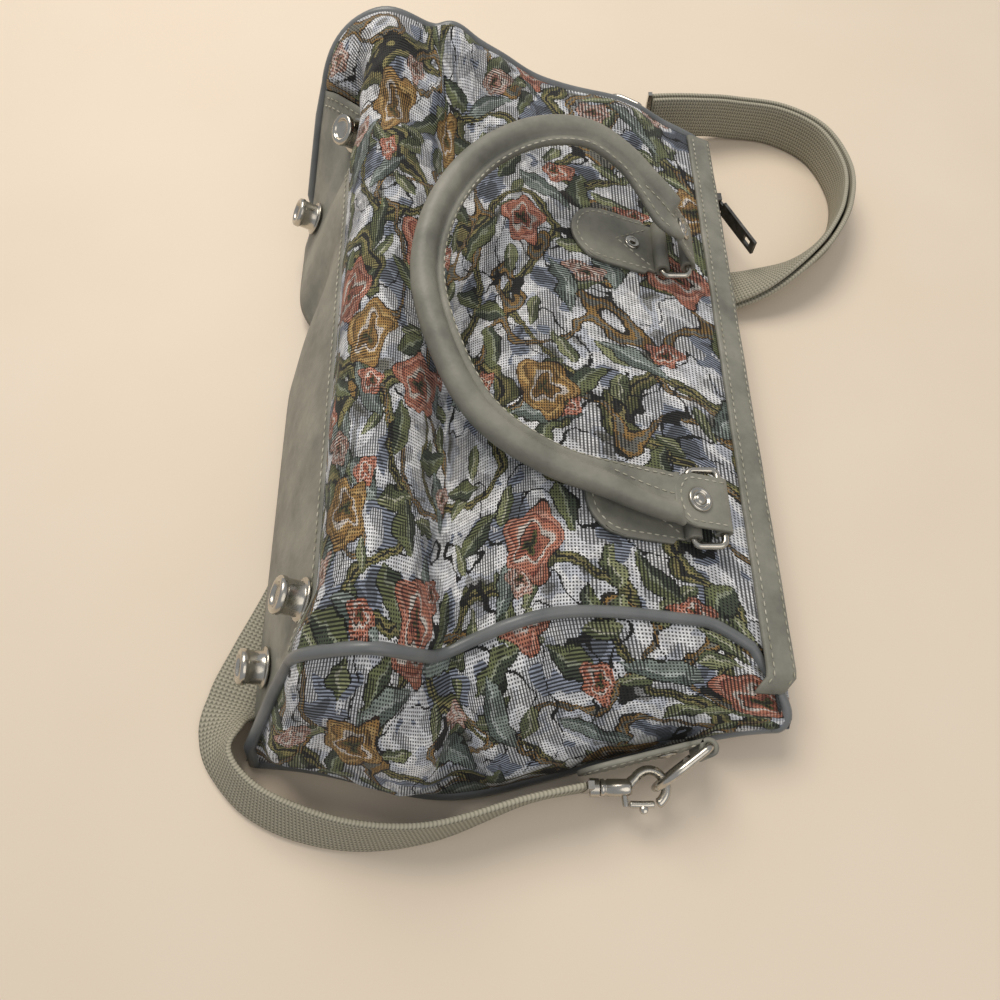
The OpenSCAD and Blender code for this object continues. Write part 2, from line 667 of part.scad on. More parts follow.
module far_hook_eye() {
    color("silver") far_hook_place() hook_eye();
}
module far_hook() {
    color("silver") far_hook_place() hook();
}
module far_gate() {
    color("silver") far_hook_place() gate();
}

// Webbing routes chosen by hand: X, Y and the turn of its width from flat, in degrees
run_k = bag_length / 316;
long_points = [[near_hook_x - 26.6, near_hook_y, 90],
    [5, -194, 90], [-30, -205, 100], [-60, -207, 112], [-86, -202, 120],
    [-106, -193, 122], [-119, -180, 126], [-122, -167, 150], [-120, -154, 180], [-113, -134, 180],
    [-100, -102, 180], [-88, -60, 180], [-80, -15, 180], [-72, 30, 180], [-48, 66, 180],
    [-8, 77, 180], [24.6, 75.3, 180]];
long_route = concat([long_points[0]], [for (i = [1:len(long_points) - 1])
    let (p = long_points[i]) [p[0], p[1] * run_k, p[2]]]);
loop_points = [[far_hook_x + 26.6, far_hook_y, 90],
    [112, 195, 90], [136, 198, 90], [163, 195, 90], [186, 177, 90],
    [195, 146, 90], [190, 118, 90], [176, 96, 80], [158, 82, 56], [136, 72, 26], [112, 68, 6],
    [86, 68, 0], [66, 70, 0], [47, 72.2, 0]];
loop_route = concat([loop_points[0]], [for (i = [1:len(loop_points) - 1])
    let (p = loop_points[i]) [p[0], p[1] * run_k, p[2]]]);
// The webbing comes down from its hook to the table over its first part
function webbing(route, lift, layer, count) =
    let (rise = layer == 0 ? strap_t / 2 : strap_t + 0.7)
    let (q = [for (i = [0:count]) curve(route, i / count)])
    let (h = [for (c = q) strap_w / 2 * abs(sin(c[2])) + rise * abs(cos(c[2])) + 0.4])
    let (d = [for (i = [0:count]) lift * (1 - smooth(0.02, 0.22, i / count))])
    let (p = [for (i = [0:count]) [q[i][0], q[i][1], h[i] + d[i]]])
    [for (i = [0:count])
        let (t = along(p, i), f = unit(cross([0, 0, 1], t)), k = cross(t, f), a = q[i][2])
        let (w = cos(a) * f + sin(a) * k, n = cross(t, w))
        let (c = p[i] + layer * (strap_t / 2 + 0.7) * n)
        [for (s = [[1, -1], [1, 1], [-1, 1], [-1, -1]])
            c + s[0] * strap_w / 2 * w + s[1] * strap_t / 2 * n]];
module strap_long() {
    color("olive") sweep(webbing(long_route, near_lift, 0, 76));
}
module strap_outer() {
    color("olive") sweep(webbing(loop_route, far_lift, 1, 66));
}
module strap_inner() {
    color("olive") sweep(webbing(loop_route, far_lift, -1, 66));
}

// Adjuster slide between the single and the doubled webbing
module strap_slide() {
    color("silver") translate([36, 73.8 * run_k, 0.3]) rotate([0, 0, -9]) difference() {
        translate([-10.5, -16, 0]) cube([21, 32, 3]);
        translate([-8, -13, -1]) cube([6.5, 26, 5]);
        translate([1.5, -13, -1]) cube([6.5, 26, 5]);
    }
}

// Everything stands in the shared frame
module place() {
    translate([-origin_x, -origin_y, 0]) children();
}
place() front_panel();
place() back_panel();
place() near_gusset();
place() far_gusset();
place() base_panel();
place() base_board();
place() base_feet();
place() near_piping();
place() far_piping();
place() front_binding();
place() back_binding();
place() front_zip_tape();
place() back_zip_tape();
place() front_teeth();
place() back_teeth();
place() zip_slider();
place() zip_pull();
place() front_tabs();
place() front_tab_rivets();
place() front_rings();
place() front_handle();
place() front_handle_rivets();
place() back_tabs();
place() back_tab_rivets();
place() back_rings();
place() back_handle();
place() back_handle_rivets();
place() near_side_tab();
place() far_side_tab();
place() side_tab_rivets();
place() near_d_ring();
place() far_d_ring();
place() near_hook_eye();
place() near_hook();
place() near_gate();
place() far_hook_eye();
place() far_hook();
place() far_gate();
place() strap_long();
place() strap_outer();
place() strap_inner();
place() strap_slide();
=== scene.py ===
# A tapestry satchel lying on its back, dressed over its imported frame.
# The satchel's own sizes are written in millimetres, and spot() brings them into the frame's metres.
import math

import bmesh
import bpy
from mathutils import Matrix, Vector, noise


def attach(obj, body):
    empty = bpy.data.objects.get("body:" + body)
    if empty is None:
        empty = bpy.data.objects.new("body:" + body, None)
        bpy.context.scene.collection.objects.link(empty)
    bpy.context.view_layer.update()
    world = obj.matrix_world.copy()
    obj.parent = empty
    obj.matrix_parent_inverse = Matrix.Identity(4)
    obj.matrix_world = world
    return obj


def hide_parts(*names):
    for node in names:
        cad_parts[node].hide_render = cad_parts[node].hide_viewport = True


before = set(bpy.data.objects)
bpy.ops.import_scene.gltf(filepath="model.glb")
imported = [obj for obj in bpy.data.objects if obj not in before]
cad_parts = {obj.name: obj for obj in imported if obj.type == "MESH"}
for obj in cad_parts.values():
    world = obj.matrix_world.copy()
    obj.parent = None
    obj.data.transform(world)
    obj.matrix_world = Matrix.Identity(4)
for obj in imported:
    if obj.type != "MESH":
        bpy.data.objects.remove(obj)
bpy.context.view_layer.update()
scene = bpy.context.scene
scene.view_settings.view_transform = "Standard"


# ---- Table top, light and camera -------------------------------------------------------------
# A pale painted table under one large soft lamp and an even room light.
# The camera stands over the near end and looks down at 65 degrees, as a phone held above a table.
def srgb(code):
    """Linear colour of an sRGB hex value."""
    parts = [int(code[i : i + 2], 16) / 255 for i in (1, 3, 5)]
    return [p / 12.92 if p <= 0.04045 else ((p + 0.055) / 1.055) ** 2.4 for p in parts] + [1.0]


def feed(tree, node, inputs):
    """Values and links go into a node's inputs, by name or in their order."""
    for key, value in inputs.items() if isinstance(inputs, dict) else enumerate(inputs):
        if isinstance(value, bpy.types.NodeSocket):
            tree.links.new(value, node.inputs[key])
        else:
            node.inputs[key].default_value = value


def add(tree, kind, settings, inputs, out=0, stops=(), between="LINEAR"):
    """One shader node with its settings, or just its operation, its values or links and, on a ramp,
    its colour stops. Gives the output asked for, or for None the node. A stop with no colour is clear."""
    made = tree.nodes.new(kind)
    if isinstance(settings, str):
        settings = {"operation": settings}
    for key, value in settings.items():
        setattr(made, key, value)
    feed(tree, made, inputs)
    if stops:
        made.color_ramp.interpolation = between
        while len(made.color_ramp.elements) < len(stops):
            made.color_ramp.elements.new(0.5)
        for element, (start, code) in zip(made.color_ramp.elements, stops):
            element.position = start
            element.color = srgb(code) if code else (0, 0, 0, 0)
    return made if out is None else made.outputs[out]


def finish_of(name):
    """A new material with its node tree and its Principled shader."""
    made = bpy.data.materials.new(name)
    made.use_nodes = True
    return made, made.node_tree, made.node_tree.nodes["Principled BSDF"]


def show(name, bm, material):
    """A bmesh becomes a smooth-shaded object at the origin."""
    mesh = bpy.data.meshes.new(name)
    bm.to_mesh(mesh)
    bm.free()
    mesh.shade_smooth()
    mesh.materials.append(material)
    made = bpy.data.objects.new(name, mesh)
    scene.collection.objects.link(made)
    return made


COORDS, NOISE, RAMP = "ShaderNodeTexCoord", "ShaderNodeTexNoise", "ShaderNodeValToRGB"


def mottled(name, size, detail, stops):
    """A new material whose colour goes between its stops in clouds of that size in metres."""
    made, tree, shader = finish_of(name)
    place = add(tree, COORDS, {}, {}, "Object")
    cloud = add(tree, NOISE, {}, {"Vector": place, "Scale": 1 / size, "Detail": detail}, "Fac")
    feed(tree, shader, {"Base Color": add(tree, RAMP, {}, {"Fac": cloud}, stops=stops)})
    return made, tree, shader, place, cloud


# Matt paint: an even pale cream with a faint roller mottle.
creams = ((0, "#dfcfb9"), (1, "#e5d7c4"))
table_paint, tree, shader, *_ = mottled("matt_table_paint", 1 / 9, 3.0, creams)
feed(tree, shader, {"Roughness": 0.55})

bm = bmesh.new()
bmesh.ops.create_grid(bm, x_segments=2, y_segments=2, size=2.5)
bmesh.ops.translate(bm, verts=bm.verts, vec=(0, 0, -0.0002))
show("table_top", bm, table_paint)

room = bpy.data.worlds.new("room_light")
room.use_nodes = True
room.node_tree.nodes["Background"].inputs["Color"].default_value = srgb("#e9ecf2")
room.node_tree.nodes["Background"].inputs["Strength"].default_value = 0.5
scene.world = room

for name, spot_at, size, watts in (
    ("key_softbox", (-0.35, 0.75, 1.25), 0.9, 15.0),
    ("fill_softbox", (0.55, -0.75, 1.1), 1.2, 4.0),
):
    lamp = bpy.data.lights.new(name, "AREA")
    lamp.shape = "DISK"
    lamp.size = size
    lamp.energy = watts
    lamp.color = srgb("#fff6ea")[:3]
    stand = bpy.data.objects.new(name, lamp)
    stand.location = spot_at
    stand.rotation_euler = (-Vector(spot_at)).to_track_quat("-Z", "Y").to_euler()
    scene.collection.objects.link(stand)

lens = bpy.data.cameras.new("phone_camera")
lens.lens = 27.04
lens.sensor_width = 36.0
lens.clip_start = 0.01
camera = bpy.data.objects.new("phone_camera", lens)
camera.location = (-0.01208, -0.21265, 0.335)
camera.rotation_euler = (math.radians(25), 0, 0)
scene.collection.objects.link(camera)
scene.camera = camera


# ---- Tapestry panels -------------------------------------------------------------------------
# Front, back and two end gussets of jacquard tapestry, sewn edge to edge and slumped: a stuffed
# roll stands along the base edge, with a deep crease beside it and a flat run up to the zip.
def smooth(a, b, x):
    t = min(1.0, max(0.0, (x - a) / (b - a)))
    return t * t * (3 - 2 * t)


def bell(c, w, x):
    return math.exp(-(((x - c) / w) ** 2))


origin_x, origin_y = 7.08, 0.65  # the frame's origin, measured in the bag's own millimetres


def spot(p):
    """A point of the bag in millimetres, as a point of the frame in metres."""
    return Vector((p[0] - origin_x, p[1] - origin_y, p[2])) * 0.001


def curve(points, t):
    """A smooth line through points, at t from 0 to 1."""
    n = len(points) - 1
    s = min(1.0, max(0.0, t)) * n
    i = min(n - 1, int(s))
    f = s - i
    a, b, c, d = (Vector(points[k]) for k in (max(0, i - 1), i, i + 1, min(n, i + 2)))
    bow, twist = 2 * a - 5 * b + 4 * c - d, 3 * b - a - 3 * c + d
    return 0.5 * (2 * b + (c - a) * f + bow * f**2 + twist * f**3)


slope = math.tan(math.radians(21))
front_line = [
    (-76.38, 68.87), (-69.38, 82.07), (-53.38, 88.87), (-38.38, 78.87), (-30.38, 66.87), (-18.38, 63.87),
    (0, 24.5 + 113 * slope), (20, 27.5 + 93 * slope), (51, 28 + 62 * slope), (82, 28 + 31 * slope), (113, 28),
]


def front_surface(u, v):
    p = curve(front_line, v)
    near = -150 + 22 * smooth(0.28, 0.8, v) * (1 - 0.7 * smooth(0.88, 1, v))
    far = 166 - 12 * (1 - smooth(0, 0.14, v)) - 3 * smooth(0.9, 1, v)
    dip = 6 * (1 - smooth(0, 0.05, u)) + 5 * smooth(0.96, 1, u)
    deep = -6 * bell(0.42, 0.075, v) * bell(0.4, 0.35, u)
    fill = smooth(0.55, 1, u) * (13 * bell(0.5, 0.13, v) + 4 * bell(0.2, 0.1, v))
    puff = 9 * bell(0.93, 0.09, u) * bell(0.84, 0.08, v) * (1 - smooth(0.87, 0.95, v))
    wave = 2.2 * (1 - smooth(0.5, 0.62, v)) * math.sin(math.radians(540 * u + 200 * v)) * bell(0.22, 0.14, v)
    cap = smooth(0.8, 1, u) * (12 * bell(0.2, 0.17, v) + 20 * bell(0.42, 0.12, v))
    flare = -17 * smooth(0.92, 1, u) * (1 - smooth(0.02, 0.3, v))
    flare -= 9 * (1 - smooth(0, 0.09, u)) * (1 - smooth(0.02, 0.22, v))
    tuck = 13 * bell(0.88, 0.05, u) * (1 - smooth(0, 0.12, v))
    return Vector((p[0] - 8 * (u - 0.5) * (1 - v) + flare + tuck, near + (far - near) * u,
                   p[1] - dip * (1 - 0.75 * v) + deep + fill + puff + wave + cap))


def back_surface(u, v):
    near = -178 - 13 * bell(0.38, 0.2, v) + 12 * smooth(0.55, 1, v)
    far = 138 + 5 * smooth(0.5, 1, v) - 13 * (1 - smooth(0, 0.25, v))
    low = smooth(0.02, 0.1, u) * (1 - smooth(0.9, 0.98, u)) * (7.5 + 7.5 * smooth(0.02, 0.16, v))
    x0 = -113 - 8 * (u - 0.5) + 12 * bell(0.69, 0.055, u) - 3.5 * (1 - smooth(0, 0.09, u))
    return Vector((x0 + (113 - x0) * v, near + (far - near) * u, low + (16 - low) * smooth(0.74, 0.94, v)))


def seam_line(u, face, v):
    """Where the front or back panel meets a gusset."""
    if face == "front":
        return front_surface(u, v) - Vector((0, 0, 1))
    p = back_surface(u, v)
    return Vector((p.x, p.y, max(p.z, 2.9)))


def gusset_surface(u, v, w):
    a, c = seam_line(u, "back", v), seam_line(u, "front", v)
    if u == 0:
        fold = 26 * bell(0.43, 0.05, v) - 8 * bell(0.27, 0.12, v)
        b = Vector(((a.x + c.x) / 2, a.y - 7 + fold * (1 - v), a.z + 0.62 * (c.z - a.z)))
    else:
        bulge = 26 * (1 - 0.6 * bell(1, 0.12, v))
        b = Vector(((a.x + c.x) / 2, max(a.y, c.y) + bulge, a.z + 0.2 * (c.z - a.z)))
    full = a * (1 - w) ** 2 + b * 2 * w * (1 - w) + c * w * w
    return a.lerp(c, w).lerp(full, smooth(0, 0.06, v))


def lay(along, across, spot_of, cut, bm=None):
    """A grid of cloth laid at spot_of(s, t), with a UV map of cut(s, t) in metres."""
    bm = bm or bmesh.new()
    uv = bm.loops.layers.uv.get("cut") or bm.loops.layers.uv.new("cut")
    made = bmesh.ops.create_grid(bm, x_segments=along, y_segments=across, size=0.5)["verts"]
    at = {v: (v.co.x + 0.5, v.co.y + 0.5) for v in made}
    for face in {f for v in made for f in v.link_faces}:
        for loop in face.loops:
            loop[uv].uv = cut(*at[loop.vert])
    for v, (s, t) in at.items():
        v.co = spot_of(s, t)
    return bm


def crumpled(surface, height):
    """The surface with folds of height(s, t, point) millimetres along its outward side."""

    def folded(s, t):
        p, e = surface(s, t), 0.004
        side = (surface(s + e, t) - surface(s - e, t)).cross(surface(s, t + e) - surface(s, t - e))
        p = p + side.normalized() * height(s, t, p)
        return spot((p.x, p.y, max(p.z, 0.1)))

    return folded


def ridges(p, length, seed):
    """Soft creases between -1 and 1, about one length apart in millimetres."""
    return 1 - 2.6 * abs(noise.noise(p / length + Vector((seed, 2.7 * seed, 0))))


# Jacquard tapestry: a pale net of weft over a black warp, with flowers and leaves that step from
# thread to thread. The threads lie 1.4 mm apart, two steps of colour to each.
tapestry, tree, shader = finish_of("jacquard_tapestry")
MATH, VECTOR, MIX = "ShaderNodeMath", "ShaderNodeVectorMath", "ShaderNodeMix"
CELLS, RANGE, BUMP = "ShaderNodeTexVoronoi", "ShaderNodeMapRange", "ShaderNodeBump"
PLANE, COLOURS = {"noise_dimensions": "2D"}, {"data_type": "RGBA"}
thread_gap, full_turn = 1.4, 6.283
cut_map = add(tree, "ShaderNodeUVMap", {"uv_map": "cut"}, {})
in_mm = add(tree, VECTOR, "SCALE", {0: cut_map, "Scale": 1000.0})
bead = add(tree, VECTOR, "SNAP", [in_mm, (thread_gap / 2, thread_gap / 2, 1.0)])
drawn = bead
for size, reach in ((30.0, 13.0), (7.0, 4.5)):
    bend = add(tree, NOISE, PLANE, {"Vector": bead, "Scale": 1 / size, "Detail": 1.0}, "Color")
    bend = add(tree, VECTOR, "SUBTRACT", [bend, (0.5, 0.5, 0.5)])
    bend = add(tree, VECTOR, "SCALE", {0: bend, "Scale": reach})
    swayed = add(tree, VECTOR, "MULTIPLY_ADD", [bend, (0.5, 0.5, 0.5), drawn])
    drawn = add(tree, VECTOR, "ADD", [drawn, bend])

# Ground: patches of pale yarn that change at a step
patch = add(tree, NOISE, PLANE, {"Vector": drawn, "Scale": 1 / 24, "Detail": 2.0}, "Fac")
pales = (
    (0, "#6a717c"), (0.31, "#9aa3b4"), (0.39, "#e4e6ea"), (0.50, "#f6f7f8"), (0.60, "#cfd4dd"),
    (0.68, "#9b9c9c"), (0.74, "#77776d"),
)
yarn = add(tree, RAMP, {}, {"Fac": patch}, stops=pales, between="CONSTANT")
shade = add(tree, MATH, "LESS_THAN", [patch, 0.39])

# Scrolls: bands of ochre and olive with black edges, where a slow noise crosses its middle
for size, middle, steps in (
    (62.0, 0.43, [(0, "#2a2b28"), (0.004, "#988f5e"), (0.018, "#666843"), (0.029, "#171917"), (0.035, None)]),
    (48.0, 0.57, [(0, "#7c7b72"), (0.006, "#9b7a46"), (0.018, "#2a2620"), (0.025, None)]),
    (33.0, 0.50, [(0, "#1b1c1c"), (0.007, None)]),
):
    stem = add(tree, NOISE, PLANE, {"Vector": drawn, "Scale": 1 / size, "Detail": 1.0}, "Fac")
    stem = add(tree, MATH, "SUBTRACT", [stem, middle])
    stem = add(tree, MATH, "ABSOLUTE", [stem])
    stem = add(tree, RAMP, {}, {"Fac": stem}, None, steps, "CONSTANT")
    yarn = add(tree, MIX, COLOURS, {0: stem.outputs["Alpha"], 6: yarn, 7: stem.outputs["Color"]}, 2)

# Leaves: pointed, one half in shade and one in light, each turned its own way
for spacing, half_long, half_wide, share, greens in (
    (20.0, 9.0, 4.6, 0.48, ("#626b4c", "#c0c1ab", "#959a72")),
    (29.0, 13.0, 6.2, 0.42, ("#465040", "#9aa28a", "#747b55")),
    (41.0, 17.0, 7.0, 0.60, ("#69756f", "#b9c2be", "#919d96")),
):
    grid = {"Vector": drawn, "Scale": 1 / spacing, "Randomness": 0.9}
    cell = add(tree, CELLS, {"voronoi_dimensions": "2D"}, grid, None)
    own = add(tree, "ShaderNodeSeparateColor", {}, [cell.outputs["Color"]], None)
    local = add(tree, VECTOR, "SUBTRACT", [drawn, cell.outputs["Position"]])
    angle = add(tree, MATH, "MULTIPLY", [own.outputs[0], full_turn])
    local = add(tree, "ShaderNodeVectorRotate", {"rotation_type": "Z_AXIS"}, {"Vector": local, "Angle": angle})
    local = add(tree, "ShaderNodeSeparateXYZ", {}, [local], None)
    far = add(tree, MATH, "DIVIDE", [local.outputs[0], half_long])
    far = add(tree, MATH, "POWER", [far, 2.0])
    wide = add(tree, MATH, "MULTIPLY_ADD", [far, -2 * half_wide, 2 * half_wide])
    wide = add(tree, MATH, "MAXIMUM", [wide, 0.05])
    off = add(tree, MATH, "DIVIDE", [local.outputs[1], wide])
    off = add(tree, MATH, "ADD", [off, 0.5])
    shades = zip((0.13, 0.42, 0.53), greens)
    steps = [(0, None), (0.06, "#1c2016"), *shades, (0.88, "#20251a"), (0.94, None)]
    leaf = add(tree, RAMP, {}, {"Fac": off}, None, steps, "CONSTANT")
    inside = add(tree, MATH, "LESS_THAN", [far, 1.0])
    kept = add(tree, MATH, "GREATER_THAN", [own.outputs[2], share])
    kept = add(tree, MATH, "MULTIPLY", [kept, inside])
    kept = add(tree, MATH, "MULTIPLY", [kept, leaf.outputs["Alpha"]])
    yarn = add(tree, MIX, COLOURS, {0: kept, 6: yarn, 7: leaf.outputs["Color"]}, 2)

# Roses: five waved petals whose bands turn round a dark eye, in coral, ochre or blush
for spacing, radius, share, sets in (
    (44.0, 8.5, 0.52, (("#d8a695", "#c07a60", "#8a4b3a"), ("#e0d0c8", "#c9a08f", "#96685a"))),
    (74.0, 18.0, 0.30, (("#d8a28e", "#c37f67", "#98594a"), ("#c6a56c", "#a5804a", "#765a34"))),
):
    grid = {"Vector": swayed, "Scale": 1 / spacing, "Randomness": 0.75}
    cell = add(tree, CELLS, {"voronoi_dimensions": "2D"}, grid, None)
    own = add(tree, "ShaderNodeSeparateColor", {}, [cell.outputs["Color"]], None)
    local = add(tree, VECTOR, "SUBTRACT", [swayed, cell.outputs["Position"]])
    reach = add(tree, VECTOR, "LENGTH", [local], 1)
    local = add(tree, "ShaderNodeSeparateXYZ", {}, [local], None)
    angle = add(tree, MATH, "ARCTAN2", [local.outputs[1], local.outputs[0]])
    petal = add(tree, MATH, "MULTIPLY_ADD", [own.outputs[0], full_turn, angle])
    petal = add(tree, MATH, "MULTIPLY", [petal, 5.0])
    petal = add(tree, MATH, "COSINE", [petal])
    edge = add(tree, MATH, "MULTIPLY_ADD", [petal, 0.12 * radius, 0.88 * radius])
    ring = add(tree, MATH, "DIVIDE", [reach, edge])
    turn = add(tree, MATH, "MULTIPLY", [ring, 7.0])
    turn = add(tree, MATH, "MULTIPLY_ADD", [angle, 3.0, turn])
    turn = add(tree, MATH, "COSINE", [turn])
    ring = add(tree, MATH, "MULTIPLY_ADD", [turn, 0.09, ring])
    ring = add(tree, MATH, "MULTIPLY", [ring, 0.8])
    blooms = []
    for light, mild, dark in sets:
        steps = (
            (0, "#2a2a1c"), (0.10, "#5a5a34"), (0.17, dark), (0.25, mild), (0.335, "#3d2a22"), (0.355, "#e6dcd2"),
            (0.43, light), (0.47, mild), (0.56, dark), (0.60, light), (0.66, mild), (0.735, "#31221b"),
            (0.765, None),
        )
        blooms.append(add(tree, RAMP, {}, {"Fac": ring}, None, steps, "CONSTANT"))
    one, other = (bloom.outputs["Color"] for bloom in blooms)
    pick = add(tree, MATH, "GREATER_THAN", [own.outputs[1], 0.5])
    bloom = add(tree, MIX, COLOURS, {0: pick, 6: one, 7: other}, 2)
    kept = add(tree, MATH, "GREATER_THAN", [own.outputs[2], share])
    kept = add(tree, MATH, "MULTIPLY", [kept, blooms[0].outputs["Alpha"]])
    yarn = add(tree, MIX, COLOURS, {0: kept, 6: yarn, 7: bloom}, 2)

# Weave: a net with square holes, columns with short breaks, or rows, by the patch of ground
spread = add(tree, "ShaderNodeSeparateXYZ", {}, [in_mm], None)
threads = []
for along, inner, outer in ((0, 0.36, 0.64), (1, 0.36, 0.64), (0, 0.06, 0.26)):
    gone = add(tree, MATH, "DIVIDE", [spread.outputs[along], thread_gap])
    gone = add(tree, MATH, "FRACT", [gone])
    gone = add(tree, MATH, "MULTIPLY_ADD", [gone, 2.0, -1.0])
    gone = add(tree, MATH, "ABSOLUTE", [gone])
    gone = add(tree, RANGE, {"interpolation_type": "SMOOTHSTEP"}, [gone, inner, outer])
    threads.append(gone)
net = add(tree, MATH, "MAXIMUM", [threads[0], threads[1]])
columns = add(tree, MATH, "MULTIPLY", [threads[1], threads[2]])
kind = add(tree, NOISE, PLANE, {"Vector": bead, "Scale": 1 / 19, "Detail": 1.0}, "Fac")
netted = add(tree, MATH, "LESS_THAN", [kind, 0.52])
raised = add(tree, MIX, {}, {0: netted, 2: columns, 3: net})
raised = add(tree, MIX, {}, {0: shade, 2: raised, 3: threads[0]})
speckle = add(tree, "ShaderNodeTexWhiteNoise", PLANE, {"Vector": bead}, 0)
speckle = add(tree, RANGE, {}, {0: speckle, 3: 0.70, 4: 1.0})
cloudy = add(tree, NOISE, PLANE, {"Vector": bead, "Scale": 1 / 5.5, "Detail": 2.0}, "Fac")
cloudy = add(tree, RANGE, {}, [cloudy, 0.3, 0.6, 0.66, 1.0])
shown = add(tree, MATH, "MULTIPLY", [speckle, cloudy])
lit = add(tree, MIX, COLOURS, {0: shown, 6: srgb("#3a3a38"), 7: yarn}, 2)
under = add(tree, MIX, COLOURS, {0: 0.09, 6: srgb("#101113"), 7: yarn}, 2)
woven = add(tree, MIX, COLOURS, {0: raised, 6: under, 7: lit}, 2)
relief = add(tree, BUMP, {}, {"Strength": 0.7, "Distance": 0.0003, "Height": raised})
feed(tree, shader, {"Base Color": woven, "Normal": relief, "Roughness": 0.82})
feed(tree, shader, {"Specular IOR Level": 0.25, "Sheen Weight": 0.08})


def front_folds(v, u, p):
    upper = smooth(0.56, 0.68, v)
    pucker = 0.7 * math.sin(p.x / 2.1) * (1 - smooth(0.0, 0.05, u)) * (1 - upper)
    slant = Vector((p.x * 1.5 - p.y * 0.5, p.y * 0.42 + p.x * 0.3, 0))
    crease = 2.2 * ridges(slant, 30, 1) * bell(0.4, 0.13, v)
    far = 2.6 * ridges(Vector((p.x * 0.5, p.y, 0)), 26, 5) * smooth(0.68, 0.9, u) * (1 - smooth(0.6, 0.74, v))
    soft = 1.5 * noise.noise(p / 38) * (1 - 0.75 * upper) + 0.5 * noise.noise(p / 15) * (1 - upper)
    held = smooth(0.0, 0.04, v) * (1 - smooth(0.96, 1.0, v)) * smooth(0.0, 0.02, u) * (1 - smooth(0.98, 1.0, u))
    return (crease + far + soft) * held + pucker * smooth(0.0, 0.03, v)


def back_folds(u, v, p):
    return 0.8 * noise.noise(p / 45) * smooth(0.0, 0.1, v) * (1 - smooth(0.55, 0.7, v))


def gusset_folds(v, w, p):
    held = math.sin(math.pi * min(1, max(0, w))) * smooth(0.0, 0.05, v) * (1 - smooth(0.9, 1.0, v))
    slant = Vector((p.x - 0.55 * p.z, 0.5 * p.z + 0.25 * p.x, 0))
    fan = 2.6 * ridges(slant, 27, 9) * (1 - smooth(0.55, 0.8, v))
    return held * (fan + 1.2 * noise.noise(p / 14))


for name, grid, surface, folds, cut, nodes in (
    ("front_cloth", (132, 168), lambda s, t: front_surface(0.003 + 0.994 * t, 0.003 + 0.987 * s),
     lambda s, t, p: front_folds(0.003 + 0.987 * s, 0.003 + 0.994 * t, p),
     lambda s, t: (0.316 * t, 0.262 * s), "front_panel"),
    ("back_cloth", (84, 60), lambda s, t: back_surface(0.012 + 0.976 * s, 0.024 + 0.966 * t),
     lambda s, t, p: back_folds(0.012 + 0.976 * s, 0.024 + 0.966 * t, p),
     lambda s, t: (0.4 + 0.316 * s, 0.226 * t), "back_panel"),
    ("near_gusset_cloth", (120, 44), lambda s, t: gusset_surface(0, 0.003 + 0.995 * s, 0.01 + 0.98 * t),
     lambda s, t, p: gusset_folds(0.003 + 0.995 * s, 0.01 + 0.98 * t, p),
     lambda s, t: (0.8 + 0.09 * t, 0.262 * s), "near_gusset"),
    ("far_gusset_cloth", (44, 100), lambda s, t: gusset_surface(1, 0.003 + 0.995 * t, 0.01 + 0.98 * s),
     lambda s, t, p: gusset_folds(0.003 + 0.995 * t, 0.01 + 0.98 * s, p),
     lambda s, t: (1.1 + 0.09 * s, 0.262 * t), "far_gusset"),
):
    made = show(name, lay(*grid, crumpled(surface, folds), cut), tapestry)
    wall = made.modifiers.new("cloth_thickness", "SOLIDIFY")
    wall.thickness = 0.0014
    wall.offset = -1
    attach(made, "bag")
    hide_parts(nodes)


# ---- Leather base ----------------------------------------------------------------------------
# A stiffened base of grained cowhide, sewn to the front with one row of thread, and two at its
# far end. It hides the board that keeps it flat.
# Dyed cowhide: satin, a little green in the grey, rubbed paler in clouds, with a fine pebble.
greys = ((0.30, "#68685f"), (0.72, "#908e82"))
leather, tree, shader, place, cloud = mottled("dyed_cowhide", 0.022, 4.0, greys)
feed(tree, cloud.node, {"Roughness": 0.6})
grain = {"Vector": place, "Scale": 1 / 0.0011, "Randomness": 1.0}
pebble = add(tree, CELLS, {"feature": "SMOOTH_F1"}, grain, "Distance")
crease = add(tree, NOISE, {}, {"Vector": place, "Scale": 1 / 0.0035, "Detail": 3.0}, "Fac")
rough = add(tree, RANGE, {}, {0: crease, 3: 0.42, 4: 0.62})
height = add(tree, MATH, "MULTIPLY_ADD", [crease, 0.6, pebble])
relief = add(tree, BUMP, {}, {"Strength": 0.35, "Distance": 0.0002, "Height": height})
feed(tree, shader, {"Roughness": rough, "Normal": relief, "IOR": 1.5})

# Waxed cotton thread: off-white, matt, a little grimed.
grimed = ((0.3, "#96937f"), (0.7, "#c6c3b4"))
thread, tree, shader, *_ = mottled("waxed_cotton_thread", 0.012, 2.0, grimed)
feed(tree, shader, {"Roughness": 0.8})


thread_half = (0.00034, 0.00030)  # half a stitch's width and height


def stitches(bm, line, normal, pitch=0.0036):
    """A row of stitches along a line of points, lying on the side that normal(point) faces."""
    gone, due = 0.0, 0.5 * pitch
    for a, b in zip(line, line[1:]):
        step = (b - a).length
        while step > 1e-9 and due <= gone + step:
            p = a.lerp(b, (due - gone) / step)
            t = (b - a).normalized()
            n = normal(p)
            n = (n - t * n.dot(t)).normalized()
            turn = Matrix((t, n.cross(t), n)).transposed().to_4x4()
            where = Matrix.Translation(p) @ turn @ Matrix.Diagonal((0.37 * pitch, *thread_half, 1))
            bmesh.ops.create_uvsphere(bm, u_segments=6, v_segments=5, radius=1, matrix=where)
            due += pitch
        gone += step
    return bm


lean = Vector((-math.cos(math.radians(28)), 0, math.sin(math.radians(28))))


